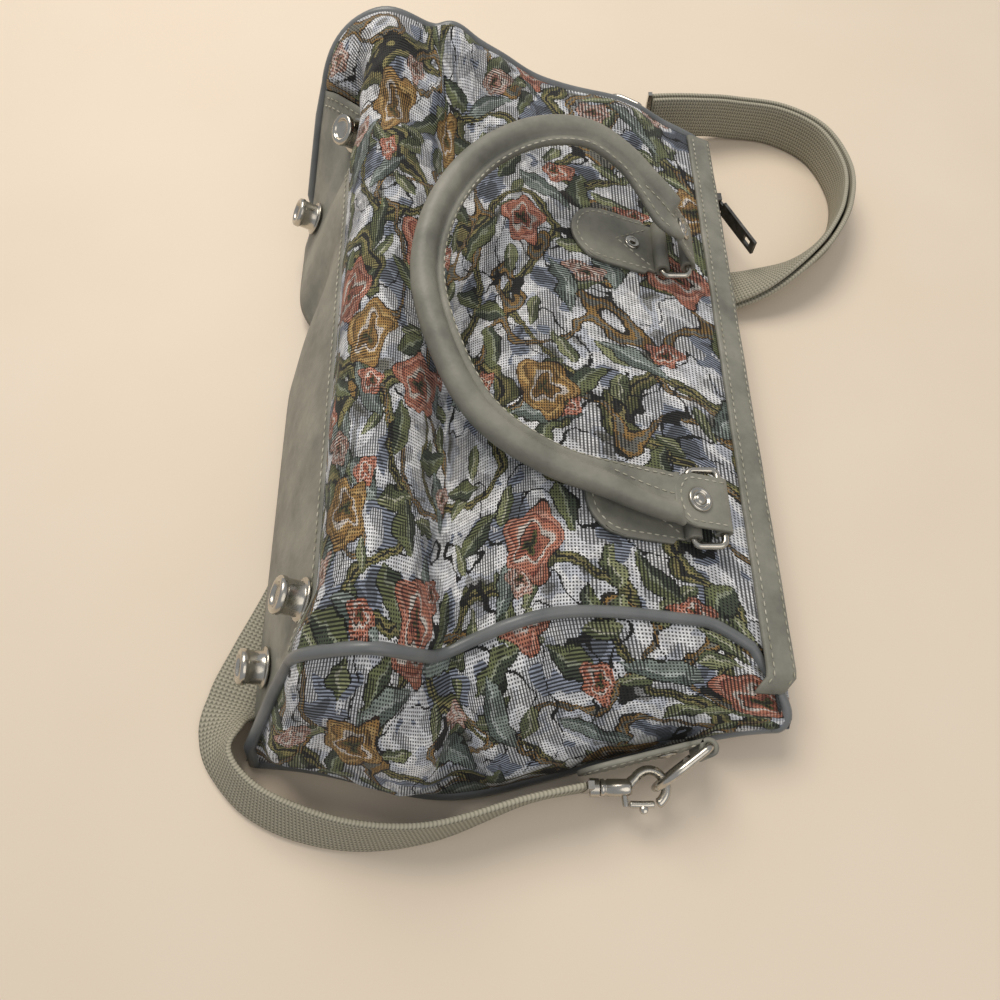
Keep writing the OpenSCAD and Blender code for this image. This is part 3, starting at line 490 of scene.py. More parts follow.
def base_surface(u, w):
    a, b = back_surface(u, 0), front_surface(u, 0)
    out = 2 * math.sin(math.pi * w) * smooth(0, 0.1, u) * (1 - smooth(0.9, 1, u))
    return a.lerp(b, w) + out * lean


def base_normal(u, w):
    """The side that the base faces there."""
    up = base_surface(u, w + 0.1) - base_surface(u, w - 0.1)
    return up.cross(base_surface(u + 0.03, w) - base_surface(u - 0.03, w)).normalized()


def base_sag(s, t, p):
    return 0.7 * noise.noise(p / 33) * math.sin(math.pi * s)


def leather_at(s, t):
    """The outer side of the leather, set in from the seams."""
    return base_surface(0.004 + 0.992 * t, 0.02 + 0.975 * s) + 0.3 * base_normal(0.05 + 0.9 * t, 0.5)


bm = lay(26, 120, crumpled(leather_at, base_sag), lambda s, t: (0.316 * t, 0.078 * s))
made = show("base_leather", bm, leather)
wall = made.modifiers.new("leather_thickness", "SOLIDIFY")
wall.thickness = 0.0018
wall.offset = -1
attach(made, "bag")
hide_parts("base_panel")

bm = bmesh.new()
for w, start in ((0.955, 0.015), (0.905, 0.80)):
    row = [start + (0.985 - start) * i / 120 for i in range(121)]
    line = [spot(base_surface(u, w) + 0.6 * base_normal(min(u, 0.95), 0.8)) for u in row]
    stitches(bm, line, lambda p: base_normal(0.5, 0.9))
made = show("base_stitching", bm, thread)
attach(made, "bag")


def dress(material, *names):
    """Gives CAD nodes that stay a finish."""
    for name in names:
        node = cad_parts[name]
        if not node.material_slots:
            node.data.materials.append(material)
        for held in node.material_slots:
            held.material = material


# Pressed board: brown and fibrous. It lies inside the base, out of sight.
fibres = ((0, "#6f5a43"), (1, "#8a7357"))
board, tree, shader, *_ = mottled("pressed_board", 0.003, 4.0, fibres)
feed(tree, shader, {"Roughness": 0.85})
dress(board, "base_board")


# ---- Barrel feet -----------------------------------------------------------------------------
# Four turned feet with a flange against the leather, a raised rim and a dimpled end, so the bag
# stands clear of the floor. Each is pushed through the base and its prongs are bent inside.
# Bright nickel plate: near mirror, warm grey, with faint smears from handling.
silvers = ((0.3, "#c8c3b8"), (0.75, "#b0aca3"))
nickel, tree, shader, _, smear = mottled("bright_nickel_plate", 0.006, 4.0, silvers)
rough = add(tree, RANGE, {}, [smear, 0.3, 0.75, 0.14, 0.34])
feed(tree, shader, {"Roughness": rough, "Metallic": 1.0})


def turned(bm, profile, where, steps=40):
    """A profile of (radius, height) in millimetres, turned on a lathe and set at a matrix."""
    points = [bm.verts.new((r * 0.001, 0, h * 0.001)) for r, h in profile]
    edges = [bm.edges.new(pair) for pair in zip(points, points[1:])]
    whole = {"cent": (0, 0, 0), "axis": (0, 0, 1), "angle": 2 * math.pi, "use_merge": True}
    made = bmesh.ops.spin(bm, geom=points + edges, steps=steps, **whole)
    fresh = set(points) | {e for e in made["geom_last"] if isinstance(e, bmesh.types.BMVert)}
    reach, queue = set(fresh), list(fresh)
    while queue:
        for e in queue.pop().link_edges:
            for v in e.verts:
                if v not in reach:
                    reach.add(v)
                    queue.append(v)
    bmesh.ops.transform(bm, matrix=where, verts=list(reach))
    bmesh.ops.remove_doubles(bm, verts=list(reach), dist=1e-6)
    return bm


def facing(point, normal):
    """A matrix at a point of the frame whose Z is the normal."""
    return Matrix.Translation(point) @ normal.to_track_quat("Z", "Y").to_matrix().to_4x4()


foot = [
    (0, 0), (8.2, 0), (8.7, 0.3), (8.7, 0.9), (8.3, 1.2), (7.2, 1.3), (6.9, 1.7), (6.9, 7.4), (7.1, 7.9),
    (7.45, 8.2), (7.5, 8.8), (7.5, 9.6), (7.3, 10.4), (6.8, 10.85), (6.0, 11), (5.2, 10.9), (4.7, 10.4),
    (4.5, 9.8), (4.0, 9.6), (0, 9.6),
]
bm = bmesh.new()
for w in (0.25, 0.86):
    for end in (-1, 1):
        u = 0.5 + end * 129 / 316
        out = base_normal(u, w)
        proud = 2.0 if w > 0.5 and end == 1 else 0.6 if w < 0.5 and end == -1 else 0.95
        turned(bm, foot, facing(spot(base_surface(u, w) + proud * out), out))
bmesh.ops.recalc_face_normals(bm, faces=bm.faces)
made = show("barrel_feet", bm, nickel)
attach(made, "bag")
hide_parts("base_feet")


# ---- Piping ----------------------------------------------------------------------------------
# A cord covered in a bias strip of vinyl, caught in the seam round each gusset: over the end of
# the zip, down the front, across the end of the base and back along the back panel.
# Coated vinyl: blue-grey, smoother and shinier than the leather.
rubbed = ((0.3, "#5f6364"), (0.7, "#767979"))
vinyl, tree, shader, place, _ = mottled("coated_vinyl", 0.02, 3.0, rubbed)
fine = add(tree, NOISE, {}, {"Vector": place, "Scale": 1 / 0.0016, "Detail": 2.0}, "Fac")
relief = add(tree, BUMP, {}, {"Strength": 0.12, "Distance": 0.0001, "Height": fine})
feed(tree, shader, {"Normal": relief, "Roughness": 0.36})


def skinned(bm, line, rings, girth):
    """Rings of points round a line, joined into a skin with closed ends. Its UV is length and girth."""
    n, k = len(line) - 1, len(girth)
    gone = [0.0]
    for a, b in zip(line, line[1:]):
        gone.append(gone[-1] + (b - a).length)
    start = len(bm.verts)
    lay(n, k, lambda s, t: rings[round(s * n)][round(t * k) % k],
        lambda s, t: (gone[round(s * n)], girth[round(t * k) % k]), bm)
    bm.verts.ensure_lookup_table()
    bmesh.ops.remove_doubles(bm, verts=bm.verts[start:], dist=1e-7)
    bmesh.ops.holes_fill(bm, edges=[e for e in bm.edges if e.is_boundary], sides=0)
    return bm


def swept(bm, line, outline, upright):
    """An outline of (side, up) metres carried along a line. Outline and upright may change by step."""
    n = len(line) - 1
    rings = []
    for i, p in enumerate(line):
        t = (line[min(i + 1, n)] - line[max(i - 1, 0)]).normalized()
        up = upright(i / n)
        up = (up - t * up.dot(t)).normalized()
        side = t.cross(up)
        rings.append([p + side * a + up * b for a, b in outline(i / n)])
    return skinned(bm, line, rings, [a for a, _ in outline(0.5)])


round_cord = [(0.0025 * math.cos(math.tau * i / 12), 0.0025 * math.sin(math.tau * i / 12)) for i in range(12)]
for end, name, corner in (
    (0, "near_piping", ((109, -166, 17.5), (111.5, -163, 20), (110, -157, 23.5), (105, -148, 26))),
    (1, "far_piping", ((110, 147, 18), (112.5, 153, 21), (111, 159, 24.5), (107.5, 163, 27))),
):
    out = Vector((-1.5, -1 + 2 * end, 0))
    over = [seam_line(end, "back", 0.97), *corner, seam_line(end, "front", 0.945)]
    line = [curve(over, i / 20) for i in range(20)]
    line += [seam_line(end, "front", 0.945 - 0.925 * i / 80) for i in range(81)]
    front_foot, back_foot = seam_line(end, "front", 0.004), seam_line(end, "back", 0.004)
    line += [front_foot.lerp(back_foot, i / 5) + out for i in range(1, 5)]
    line += [seam_line(end, "back", 0.02 + 0.95 * i / 70) for i in range(71)]
    bm = swept(bmesh.new(), [spot(p) for p in line], lambda s: round_cord, lambda s: Vector((0, 1, 0.02)))
    bmesh.ops.recalc_face_normals(bm, faces=bm.faces)
    made = show(name + "_cord", bm, vinyl)
    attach(made, "bag")
    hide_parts(name)


# ---- Zip and its bindings --------------------------------------------------------------------
# A metal zip runs along the top edge between two strips of leather, each folded over the raw edge
# of its panel and sewn down with two rows. A short stay of tape closes each end of the zip, and
# the slider sits at the far end with a slotted pull.
in_metres = Matrix.Scale(0.001, 4)
front_frame = Matrix.Translation(spot((113, 0, 28))) @ Matrix.Rotation(math.radians(21), 4, "Y") @ in_metres
back_frame = Matrix.Translation(spot((113, 0, 15))) @ Matrix.Rotation(math.pi, 4, "X") @ in_metres
zip_back = Matrix.Translation((0, 0, 0.001)) @ back_frame
strip = [
    (-12, 0.3), (-12.1, 0.9), (-11.8, 1.7), (-11, 2.1), (-8, 2.3), (-4, 2.35), (0, 2.3), (1.5, 2.1), (2.3, 1.4),
    (2.45, 0.6), (2.4, -0.8), (2.1, -1.2), (0.6, -1.2), (0.4, -0.8), (0.4, 0.2), (-0.2, 0.3), (-6, 0.3),
]


def ripple(y):
    """How far a binding wanders from straight, in millimetres."""
    return 0.22 * noise.noise(Vector((y / 19, 3.0, 1.0)))


for name, where, start, long in (
    ("front_binding", front_frame, -155, 314),
    ("back_binding", zip_back, -137, 292),
):

    def on_strip(x, y, z):
        """A point y from the strip's near end, which is tucked in on the front."""
        tuck = (1 - smooth(0, 9, y)) ** 2 if where is front_frame else 0.0
        return where @ Vector((x - 4 * tuck, start + y, z - 5 * tuck))

    def strip_at(s, t):
        x, z = strip[round(t * len(strip)) % len(strip)]
        return on_strip(x + 0.8 * ripple(long * s), long * s, z + ripple(long * s))

    bm = lay(104, len(strip), strip_at, lambda s, t: (0.001 * long * s, 0.03 * t))
    bmesh.ops.remove_doubles(bm, verts=bm.verts, dist=1e-7)
    bmesh.ops.holes_fill(bm, edges=[e for e in bm.edges if e.is_boundary], sides=0)
    bmesh.ops.recalc_face_normals(bm, faces=bm.faces)
    made = show(name + "_strip", bm, leather)
    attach(made, "bag")
    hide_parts(name)
    bm = bmesh.new()
    row = [3 + (long - 6) * i / 90 for i in range(91)]
    for x in (-9.6, 0.2):
        line = [on_strip(x, y, 2.5 + ripple(y)) for y in row]
        stitches(bm, line, lambda p: where.to_3x3() @ Vector((0, 0, 1)))
    made = show(name + "_stitching", bm, thread)
    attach(made, "bag")

# Woven polyester tape: black, fine twill, with painted shade: darker in the twill's grooves and paler on its
# ridges.
tape, tree, shader = finish_of("woven_polyester_tape")
place = add(tree, COORDS, {}, {}, "Object")
ribs = {"Vector": place, "Scale": 1 / 0.0024, "Distortion": 0.4}
twill = add(tree, "ShaderNodeTexWave", {"bands_direction": "DIAGONAL"}, ribs, "Fac")
# Painted shade: the colour follows the twill's relief, darker where it is low.
weave_and_groove_shade = add(tree, RAMP, {}, {"Fac": twill}, stops=((0, "#1d1f20"), (1, "#33373a")))
relief = add(tree, BUMP, {}, {"Strength": 0.4, "Distance": 0.0002, "Height": twill})
feed(tree, shader, {"Base Color": weave_and_groove_shade, "Normal": relief, "Roughness": 0.8})
dress(tape, "front_zip_tape", "back_zip_tape")

bm = bmesh.new()
for y, half in ((-157, 4.5), (143, 7)):
    lay(4, 8, lambda s, t: spot((107 + 2 * math.sin(math.pi * t), y + half * (2 * s - 1), 16 + 11.5 * t)),
        lambda s, t: (0.002 * half * s, 0.0115 * t), bm)
made = show("zip_end_stays", bm, tape)
wall = made.modifiers.new("tape_thickness", "SOLIDIFY")
wall.thickness = 0.001
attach(made, "bag")

# Gunmetal plate: dark nickel, satin, worn brighter in patches.
darks = ((0.35, "#5b5a58"), (0.75, "#8a8781"))
gunmetal, tree, shader, _, worn = mottled("gunmetal_plate", 0.005, 3.0, darks)
rough = add(tree, RANGE, {}, {0: worn, 3: 0.28, 4: 0.45})
feed(tree, shader, {"Roughness": rough, "Metallic": 1.0})
dress(gunmetal, "front_teeth", "back_teeth", "zip_slider", "zip_pull")


# ---- Handle tabs and rings -------------------------------------------------------------------
# A leather tongue on each panel is sewn round its edge and across in a triangle, turned over the
# bar of a wire ring and riveted. The rings swing on the tongues.
def rolled_loop(bm, outer, inner, half, where):
    """A strip of leather rolled round a bar that lies along Y, in millimetres, set at a matrix."""
    corners = [(outer, -half), (outer, half), (inner, half), (inner, -half)]

    def rolled_at(s, t):
        r, y = corners[round(4 * t) % 4]
        return where @ Vector((r * math.cos(math.tau * s), y, r * math.sin(math.tau * s)))

    start = len(bm.verts)
    lay(40, 4, rolled_at, lambda s, t: (0.02 * s, 0.03 * t), bm)
    bm.verts.ensure_lookup_table()
    bmesh.ops.remove_doubles(bm, verts=bm.verts[start:], dist=1e-4)
    bmesh.ops.recalc_face_normals(bm, faces=bm.faces)


def tongue_cut(s, t, straight, half):
    """A leather tongue, in millimetres: straight sides to a round tip, narrowed where it meets the ring."""
    across = 2 * t - 1
    tip = -straight - half * math.sqrt(max(0.0, 1 - across * across))
    x = tip + (-1.5 - tip) * s
    return x, across * (half - 2.5 * smooth(-9, -6, x))


def cut_plate(grid, shape, size, inward, soft):
    """Thick leather in millimetres: a grid laid at shape(s, t), thickened inward, with a soft outer rim."""
    plate = lay(*grid, shape, lambda s, t: (size[0] * s, size[1] * t))
    made = bmesh.ops.extrude_face_region(plate, geom=plate.faces[:])["geom"]
    bmesh.ops.translate(plate, verts=[v for v in made if isinstance(v, bmesh.types.BMVert)], vec=inward)
    bmesh.ops.recalc_face_normals(plate, faces=plate.faces)
    inward = Vector(inward)
    half_way = (Vector(shape(0.5, 0.5)) + inward / 2).dot(inward)
    sharp = [e for e in plate.edges if len(e.link_faces) == 2 and e.calc_face_angle() > 1.0]
    rim = [e for e in sharp if all(v.co.dot(inward) < half_way for v in e.verts)]
    rounding = {"offset_type": "OFFSET", "segments": 3, "profile": 0.5, "affect": "EDGES", "material": -1}
    bmesh.ops.bevel(plate, geom=rim, offset=soft, **rounding)
    return plate


def join(bm, piece):
    """A finished piece goes into the bmesh of a larger one."""
    held = bpy.data.meshes.new("piece")
    piece.to_mesh(held)
    piece.free()
    bm.from_mesh(held)
    bpy.data.meshes.remove(held)


def hem(mouth, straight, middle, deep, half, turn):
    """A stitch line of (x, y) millimetres: along one edge, round the tip by the angles in turn, and back."""
    tip = [(middle - deep * math.sin(a), -half * math.cos(a)) for a in turn]
    return [(mouth, -half), (straight, -half), *tip, (straight, half), (mouth, half)]


tab_t = 1.9  # thickness of a tongue, in millimetres
half_span = 71.5  # half the way between a handle's two rings
triangle = [(-5, -12), (-24, 0), (-5, 12)]
tongue_hem = hem(-4, -10, -31, 14.2, 14.2, [math.pi * i / 24 for i in range(25)])
small_rivet = [
    (0, 0), (4, 0), (4.05, 0.4), (3.7, 0.85), (3.0, 1.05), (2.5, 0.95), (2.1, 0.75), (1.7, 0.95), (1.2, 1.3),
    (0.6, 1.48), (0, 1.5),
]
for side, where, mid in (("front", front_frame, -9.5), ("back", back_frame, 37.5)):
    bm, sewn, rivets = bmesh.new(), bmesh.new(), bmesh.new()
    up = where.to_3x3() @ Vector((0, 0, 1))
    for end in (-1, 1):
        at = where @ Matrix.Translation((-42, mid + end * half_span, 0.3))
        tongue = cut_plate((40, 24), lambda s, t: (*tongue_cut(s, t, 31, 17), tab_t),
                           (0.048, 0.034), (0, 0, -tab_t), 0.55)
        rolled_loop(tongue, 3.6, 1.7, 14.5, Matrix.Translation((0, 0, 3.6)))
        bmesh.ops.transform(tongue, matrix=at, verts=tongue.verts)
        join(bm, tongue)
        for row in (tongue_hem, triangle):
            stitches(sewn, [at @ Vector((x, y, 2.0)) for x, y in row], lambda p: up)
        turned(rivets, small_rivet, facing(at @ Vector((-15, 0, tab_t + 0.02)), up.normalized()), 32)
    made = show(side + "_tongues", bm, leather)
    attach(made, "bag")
    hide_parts(side + "_tabs")
    made = show(side + "_tongue_stitching", sewn, thread)
    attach(made, "bag")
    bmesh.ops.recalc_face_normals(rivets, faces=rivets.faces)
    made = show(side + "_tongue_rivets", rivets, nickel)
    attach(made, "bag")
    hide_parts(side + "_tab_rivets")
dress(nickel, "front_rings", "back_rings")


# ---- Handles ---------------------------------------------------------------------------------
# Two carrying handles: a strip of leather folded round a cord core, its edges sewn together along
# the inside of the bow. Each flat end passes round a ring under a rounded flap with a rivet.
rolled = [
    (-5.6, 0), (-5.2, 2.4), (-4.0, 4.2), (-1.9, 5.4), (0.6, 5.6), (2.8, 4.7), (4.2, 3.0), (5.0, 1.5), (5.7, 1.25),
    (6.4, 1.8), (7.6, 1.9), (8.5, 1.5), (8.7, 0),
]
split = [
    (-10.5, 0), (-10.2, 2.2), (-9.0, 3.6), (-7.0, 4.3), (-4.8, 4.1), (-3.0, 3.1), (-1.9, 1.7), (-1.2, 1.2),
    (-0.5, 1.3), (0.4, 1.75), (6.5, 1.85), (10.8, 1.5), (11.2, 0),
]
flat = [
    (-11.9, 0), (-11.8, 0.9), (-11.4, 1.6), (-9, 1.8), (-5, 1.8), (-2, 1.8), (0, 1.8), (2, 1.8), (4, 1.8),
    (6, 1.8), (9, 1.8), (11.6, 1.3), (11.9, 0),
]
rolled, split, flat = (half + [(a, -b) for a, b in half[-2:0:-1]] for half in (rolled, split, flat))
bar_x, bar_z = -29.784, 8.346  # the ring's bar that a handle turns on, in its panel's frame
end_z = 1.7  # how far the flat end lies from that bar


def outline(s):
    """The handle's section at s along it: flat at the ends, split beside them, then rolled."""
    s = min(s, 1 - s)
    a, b, k = (flat, split, smooth(0.02, 0.05, s)) if s < 0.05 else (split, rolled, smooth(0.07, 0.2, s))
    return [((p[0] + (q[0] - p[0]) * k) * 0.001, (p[1] + (q[1] - p[1]) * k) * 0.001) for p, q in zip(a, b)]


def handle_end(lift, x, end):
    """A point of a handle's flat end, x from the bar, with the end lifted by that many degrees."""
    c, s = math.cos(math.radians(lift)), math.sin(math.radians(lift))
    return Vector((bar_x + x * c + end_z * s, end * half_span, bar_z - x * s + end_z * c))


def flap_cut(s, t):
    """The rounded flap over a handle's end, in millimetres from the bar."""
    across = 2 * t - 1
    tip = -24.5 + 9 * (1 - math.sqrt(max(0.0, 1 - max(0.0, (abs(across) - 0.25) / 0.75) ** 2)))
    return tip + (0.0 - tip) * s, across * 12.2, 3.65


front_route = [
    handle_end(0, -21, -1), handle_end(0, -27, -1), (-78, -69.5, 9), (-108, -64.5, 8), (-137, -49, 8),
    (-155, -20, 9), (-164, 13, 11), (-160, 45, 16), (-145, 73, 22), (-122, 92, 28), (-97, 98, 32),
    (-76, 92, 31), (-61, 81, 28), handle_end(35, -27, 1), handle_end(35, -21, 1),
]
back_route = [
    handle_end(0, -21, -1), handle_end(0, -27, -1), (-70, -70.5, 8.5), (-104, -64.5, 8.5), (-130, -44.5, 8.2),
    (-142, 0, 8), (-130, 44.5, 8.2), (-104, 64.5, 8.5), (-70, 70.5, 8.5),
    handle_end(0, -27, 1), handle_end(0, -21, 1),
]
flap_hem = hem(0, -15, -15.5, 6.5, 9.8, [math.pi * i / 16 for i in range(1, 16)])
cap_rivet = [
    (0, 0), (5.5, 0), (5.6, 0.5), (5.4, 1.0), (4.9, 1.3), (4.3, 1.25), (3.8, 0.9), (3.5, 0.35), (2.8, 0.3),
    (2.5, 0.6), (2.3, 1.1), (1.7, 1.5), (0.9, 1.68), (0, 1.7),
]
for side, where, mid, route, lifts in (
    ("front", front_frame, -9.5, front_route, (0, 35)),
    ("back", back_frame, 37.5, back_route, (0, 0)),
):
    turn = where @ Matrix.Translation((0, mid, 0))
    up = (where.to_3x3() @ Vector((0, 0, 1))).normalized()
    line = [turn @ curve(route, i / 150) for i in range(151)]
    bm = swept(bmesh.new(), line, outline, lambda s: up)
    sewn = bmesh.new()
    for row, share, spans in ((10, 0.6, [(8, 143)]), (9, 0.1, [(8, 24), (127, 143)])):
        for face in (1, -1):
            for first, last in spans:
                sewn_line = []
                for i in range(first, last):
                    t = (line[i + 1] - line[i - 1]).normalized()
                    n = (up - t * up.dot(t)).normalized()
                    a, b = (Vector(outline(i / 150)[k]) for k in (row, row + 1))
                    p = a.lerp(b, share)
                    sewn_line.append(line[i] + t.cross(n) * p.x + n * face * (p.y + 0.0002))
                stitches(sewn, sewn_line, lambda p: up * face)
    rivets = bmesh.new()
    for end, lift in zip((-1, 1), lifts):
        at = turn @ Matrix.Translation((bar_x, end * half_span, bar_z))
        at = at @ Matrix.Rotation(math.radians(lift), 4, "Y")
        face = (at.to_3x3() @ Vector((0, 0, 1))).normalized()
        flap = cut_plate((30, 20), flap_cut, (0.024, 0.024), (0, 0, -1.7), 0.5)
        rolled_loop(flap, 3.62, 1.72, 12.1, Matrix.Identity(4))
        bmesh.ops.transform(flap, matrix=at, verts=flap.verts)
        join(bm, flap)
        stitches(sewn, [at @ Vector((x, y, 3.75)) for x, y in flap_hem], lambda p: face)
        turned(rivets, cap_rivet, facing(at @ Vector((-13, 0, 3.65)), face), 36)
    made = show(side + "_rolled_handle", bm, leather)
    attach(made, side + "_handle")
    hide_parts(side + "_handle")
    made = show(side + "_handle_stitching", sewn, thread)
    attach(made, side + "_handle")
    bmesh.ops.recalc_face_normals(rivets, faces=rivets.faces)
    made = show(side + "_handle_caps", rivets, nickel)
    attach(made, side + "_handle")
    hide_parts(side + "_handle_rivets")


# ---- Side tabs and D-rings -------------------------------------------------------------------
# A small leather tongue lies on each gusset below the zip, sewn round and riveted, with its end
# rolled round the straight bar of a D-ring that takes the strap's hook.
def side_cut(s, t):
    x, z = tongue_cut(s, t, 40, 12)
    return x, tab_t - 3.7, z


side_hem = hem(-5, -10, -40, 9.6, 9.6, [math.pi * i / 20 for i in range(21)])
plain_rivet = small_rivet[:5] + small_rivet[6:]
for name, at, turn, flip in (
    ("near_side_tab", (77, -175.4, 18.5), 13, -1),
    ("far_side_tab", (77, 178.8, 24), 0, 1),
):
    where = Matrix.Translation(spot(at)) @ Matrix.Rotation(math.radians(turn), 4, "Z") @ in_metres
    where = where @ Matrix.Diagonal((1, flip, 1, 1))
    out = (where.to_3x3() @ Vector((0, 1, 0))).normalized()
    bm = cut_plate((40, 20), side_cut, (0.05, 0.024), (0, -tab_t, 0), 0.5)
    rolled_loop(bm, 3.7, 1.8, 9.5, Matrix.Rotation(math.pi / 2, 4, "X"))
    bmesh.ops.transform(bm, matrix=where, verts=bm.verts)
    bmesh.ops.recalc_face_normals(bm, faces=bm.faces)
    made = show(name.replace("tab", "tongue"), bm, leather)
    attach(made, "bag")
    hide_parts(name)
    sewn = stitches(bmesh.new(), [where @ Vector((x, -1.7, z)) for x, z in side_hem], lambda p: out)
    made = show(name.replace("tab", "tongue_stitching"), sewn, thread)
    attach(made, "bag")
    rivets = turned(bmesh.new(), plain_rivet, facing(where @ Vector((-15, -1.75, 0)), out), 32)
    bmesh.ops.recalc_face_normals(rivets, faces=rivets.faces)
    made = show(name.replace("tab", "tongue_rivet"), rivets, nickel)
    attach(made, "bag")
    if flip == 1:
        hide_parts("side_tab_rivets")
dress(nickel, "near_d_ring", "far_d_ring")


# ---- Strap hooks -----------------------------------------------------------------------------
# Two cast trigger hooks: a turned barrel that swivels on an eye, a round hook drawn from it, and a
# sprung gate on a lug with a thumb stud. The webbing is sewn round the eye's bar.
barrel = [
    (0, -20), (3.0, -20), (3.4, -19.6), (3.4, -18.4), (2.9, -18.0), (2.9, -17.4), (3.4, -17.0), (3.4, -9.6),
    (3.2, -8.4), (2.6, -7.4), (0, -6.9),
]
crook = [(-10.4, 0.6), (-8.4, 1.2), (-6.7, 2.6), (-5.3, 3.8)]
for angle in (130, 100, 70, 40, 10, -20, -50, -68):
    crook.append((6.5 * math.cos(math.radians(angle)), 6.5 * math.sin(math.radians(angle))))
lug = [(-10.4, -1.6), (-10.3, -3.6), (-10.1, -5.6), (-10.0, -7.2)]
lever = [(-8.5, -6.2), (-5.5, -6.3), (-2.0, -6.3), (1.3, -6.2)]
stud = [(0, -1.5), (1.2, -1.5), (1.6, -1.1), (1.6, 1.1), (1.2, 1.5), (0, 1.5)]
wire = [(math.cos(math.tau * i / 16), math.sin(math.tau * i / 16)) for i in range(16)]


def bar(bm, where, points, count, thick):
    """A round bar through points, thick(s) millimetres in radius, sideways and upward."""
    line = [where @ curve([(x, y, 0) for x, y in points], i / count) for i in range(count + 1)]
    section = lambda s: [(a * thick(s)[0] * 0.001, b * thick(s)[1] * 0.001) for a, b in wire]
    swept(bm, line, section, lambda s: Vector((0, 0, 1)))


for name, at, turn in (("near", (54.72, -189.37, 15.1), 0), ("far", (59.02, 192.77, 20), 180)):
    where = Matrix.Translation(spot(at)) @ Matrix.Rotation(math.radians(turn), 4, "Z") @ in_metres
    bm = bmesh.new()
    bar(bm, where, crook, 60, lambda s: [2.5 - 0.5 * smooth(0, 0.25, s) - 0.9 * smooth(0.97, 1.0, s)] * 2)
    bar(bm, where, lug, 10, lambda s: (1.25 - 0.25 * smooth(0.8, 1, s), 1.4))
    turned(bm, barrel, where @ Matrix.Rotation(math.pi / 2, 4, "Y") @ Matrix.Scale(1000, 4), 36)
    bmesh.ops.recalc_face_normals(bm, faces=bm.faces)
    made = show(name + "_cast_hook", bm, nickel)
    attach(made, name + "_hook")
    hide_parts(name + "_hook")
    bm = bmesh.new()
    bar(bm, where, lever, 24, lambda s: [1.4 - 0.4 * (smooth(0.96, 1, s) + 1 - smooth(0, 0.04, s))] * 2)
    turned(bm, stud, where @ Matrix.Translation((-3, -8.2, 0)) @ Matrix.Scale(1000, 4), 24)
    bmesh.ops.recalc_face_normals(bm, faces=bm.faces)
    made = show(name + "_gate_lever", bm, nickel)
    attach(made, name + "_gate")
    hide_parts(name + "_gate")
dress(nickel, "near_hook_eye", "far_hook_eye", "strap_slide")


# ---- Shoulder strap --------------------------------------------------------------------------
# Ribbed cotton webbing 25 mm wide: one long run under the bag and a doubled run that loops out
# past the zip, joined by a metal slide. It lies on the table, mostly on its edge.
# Ribbed cotton webbing: olive grey, with cords along its length and a fine cross rib, and painted shade: darker
# in the grooves between cords and ribs, paler on their crowns.
webbing, tree, shader = finish_of("ribbed_cotton_webbing")
cut_map = add(tree, "ShaderNodeUVMap", {"uv_map": "cut"}, {})
spread = add(tree, "ShaderNodeSeparateXYZ", {}, [cut_map], None)
ribs = add(tree, MATH, "MULTIPLY", [spread.outputs[1], math.tau / 0.0021])
ribs = add(tree, MATH, "COSINE", [ribs])
picks = add(tree, MATH, "MULTIPLY", [spread.outputs[0], math.tau / 0.0016])
picks = add(tree, MATH, "MULTIPLY_ADD", [ribs, 1.2, picks])
picks = add(tree, MATH, "COSINE", [picks])
weave = add(tree, MATH, "MULTIPLY_ADD", [ribs, 0.7, picks])
weave = add(tree, RANGE, {}, [weave, -1.7, 1.7])
# Painted shade: the colour follows the weave's relief, darker where it is low.
weave_and_groove_shade = add(tree, RAMP, {}, {"Fac": weave}, stops=((0.1, "#716f61"), (0.8, "#b0ab99")))
relief = add(tree, BUMP, {}, {"Strength": 0.7, "Distance": 0.0004, "Height": weave})
feed(tree, shader, {"Base Color": weave_and_groove_shade, "Normal": relief, "Roughness": 0.88, "Specular IOR Level": 0.2})

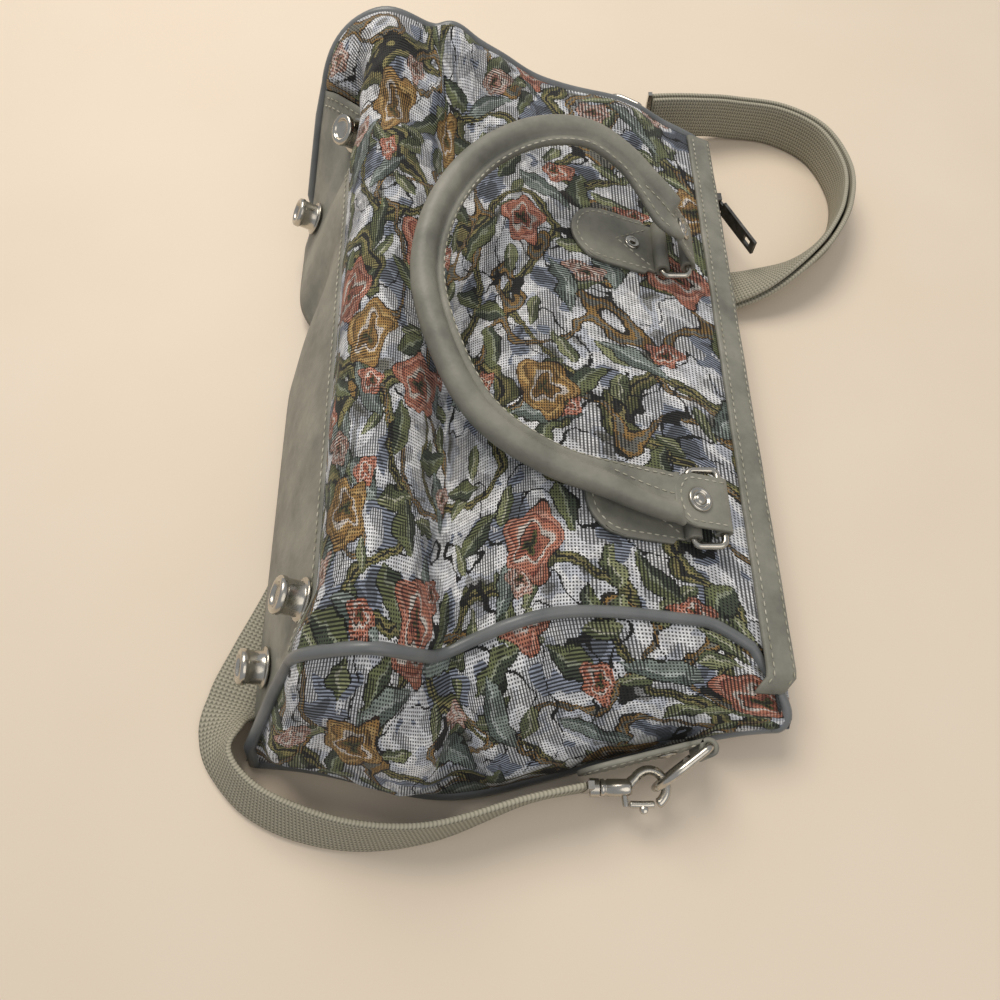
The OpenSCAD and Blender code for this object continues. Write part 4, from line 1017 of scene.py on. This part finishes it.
# Routes are (x, y, lean): 90 degrees stands the webbing on its edge, 0 and 180 lay it flat
long_route = [
    (28.12, -189.37, 90), (5, -194, 90), (-30, -205, 100), (-60, -207, 112), (-86, -202, 120), (-106, -193, 122),
    (-119, -180, 126), (-122, -167, 150), (-120, -154, 180), (-113, -134, 180), (-100, -102, 180),
    (-88, -60, 180), (-80, -15, 180), (-72, 30, 180), (-48, 66, 180), (-8, 77, 180), (24.6, 75.3, 180),
]
loop_route = [
    (85.62, 192.77, 90), (112, 195, 90), (136, 198, 90), (163, 195, 90), (186, 177, 90), (195, 146, 90),
    (190, 118, 90), (176, 96, 80), (158, 82, 56), (136, 72, 26), (112, 68, 6), (86, 68, 0), (66, 70, 0),
    (47, 72.2, 0),
]
half_wide, half_thick, layer_gap = 12.5, 1.3, 2.0
edge = [
    (12.5, -0.5), (12.5, 0.5), (12.2, 1.0), (11.6, 1.3), (6, 1.3), (0, 1.3), (-6, 1.3), (-11.6, 1.3),
    (-12.2, 1.0),
]
edge += [(-a, -b) for a, b in edge]
for name, route, lift, layer, count, length, hook in (
    ("strap_long", long_route, 2.2, 0, 120, 0.496, ["near_hook_eye", "near_cast_hook", "near_gate_lever"]),
    ("strap_outer", loop_route, 7.1, 1, 100, 0.328, ["far_hook_eye", "far_cast_hook", "far_gate_lever"]),
    ("strap_inner", loop_route, 7.1, -1, 100, 0.340, []),
):
    rise = half_thick + abs(layer) * layer_gap
    middle, wides = [], []
    for i in range(count + 1):
        x, y, a = curve(route, i / count)
        a = math.radians(a)
        z = half_wide * abs(math.sin(a)) + rise * abs(math.cos(a)) + 0.4
        z += lift * (1 - smooth(0.02, 0.22, i / count))
        middle.append((Vector((x, y, z)), a))
    line = []
    for i, (p, a) in enumerate(middle):
        t = (middle[min(i + 1, count)][0] - middle[max(i - 1, 0)][0]).normalized()
        f = Vector((0, 0, 1)).cross(t).normalized()
        w = math.cos(a) * f + math.sin(a) * t.cross(f)
        n = t.cross(w)
        line.append(spot(p + layer * layer_gap * n))
        wides.append((w, n))
    rings = [[p + (w * a + n * b) * 0.001 for a, b in edge] for p, (w, n) in zip(line, wides)]
    bm = skinned(bmesh.new(), line, rings, [a * 0.001 for a, _ in edge])
    bmesh.ops.recalc_face_normals(bm, faces=bm.faces)
    made = show(name + "_webbing", bm, webbing)
    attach(made, "bag")
    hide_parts(name)
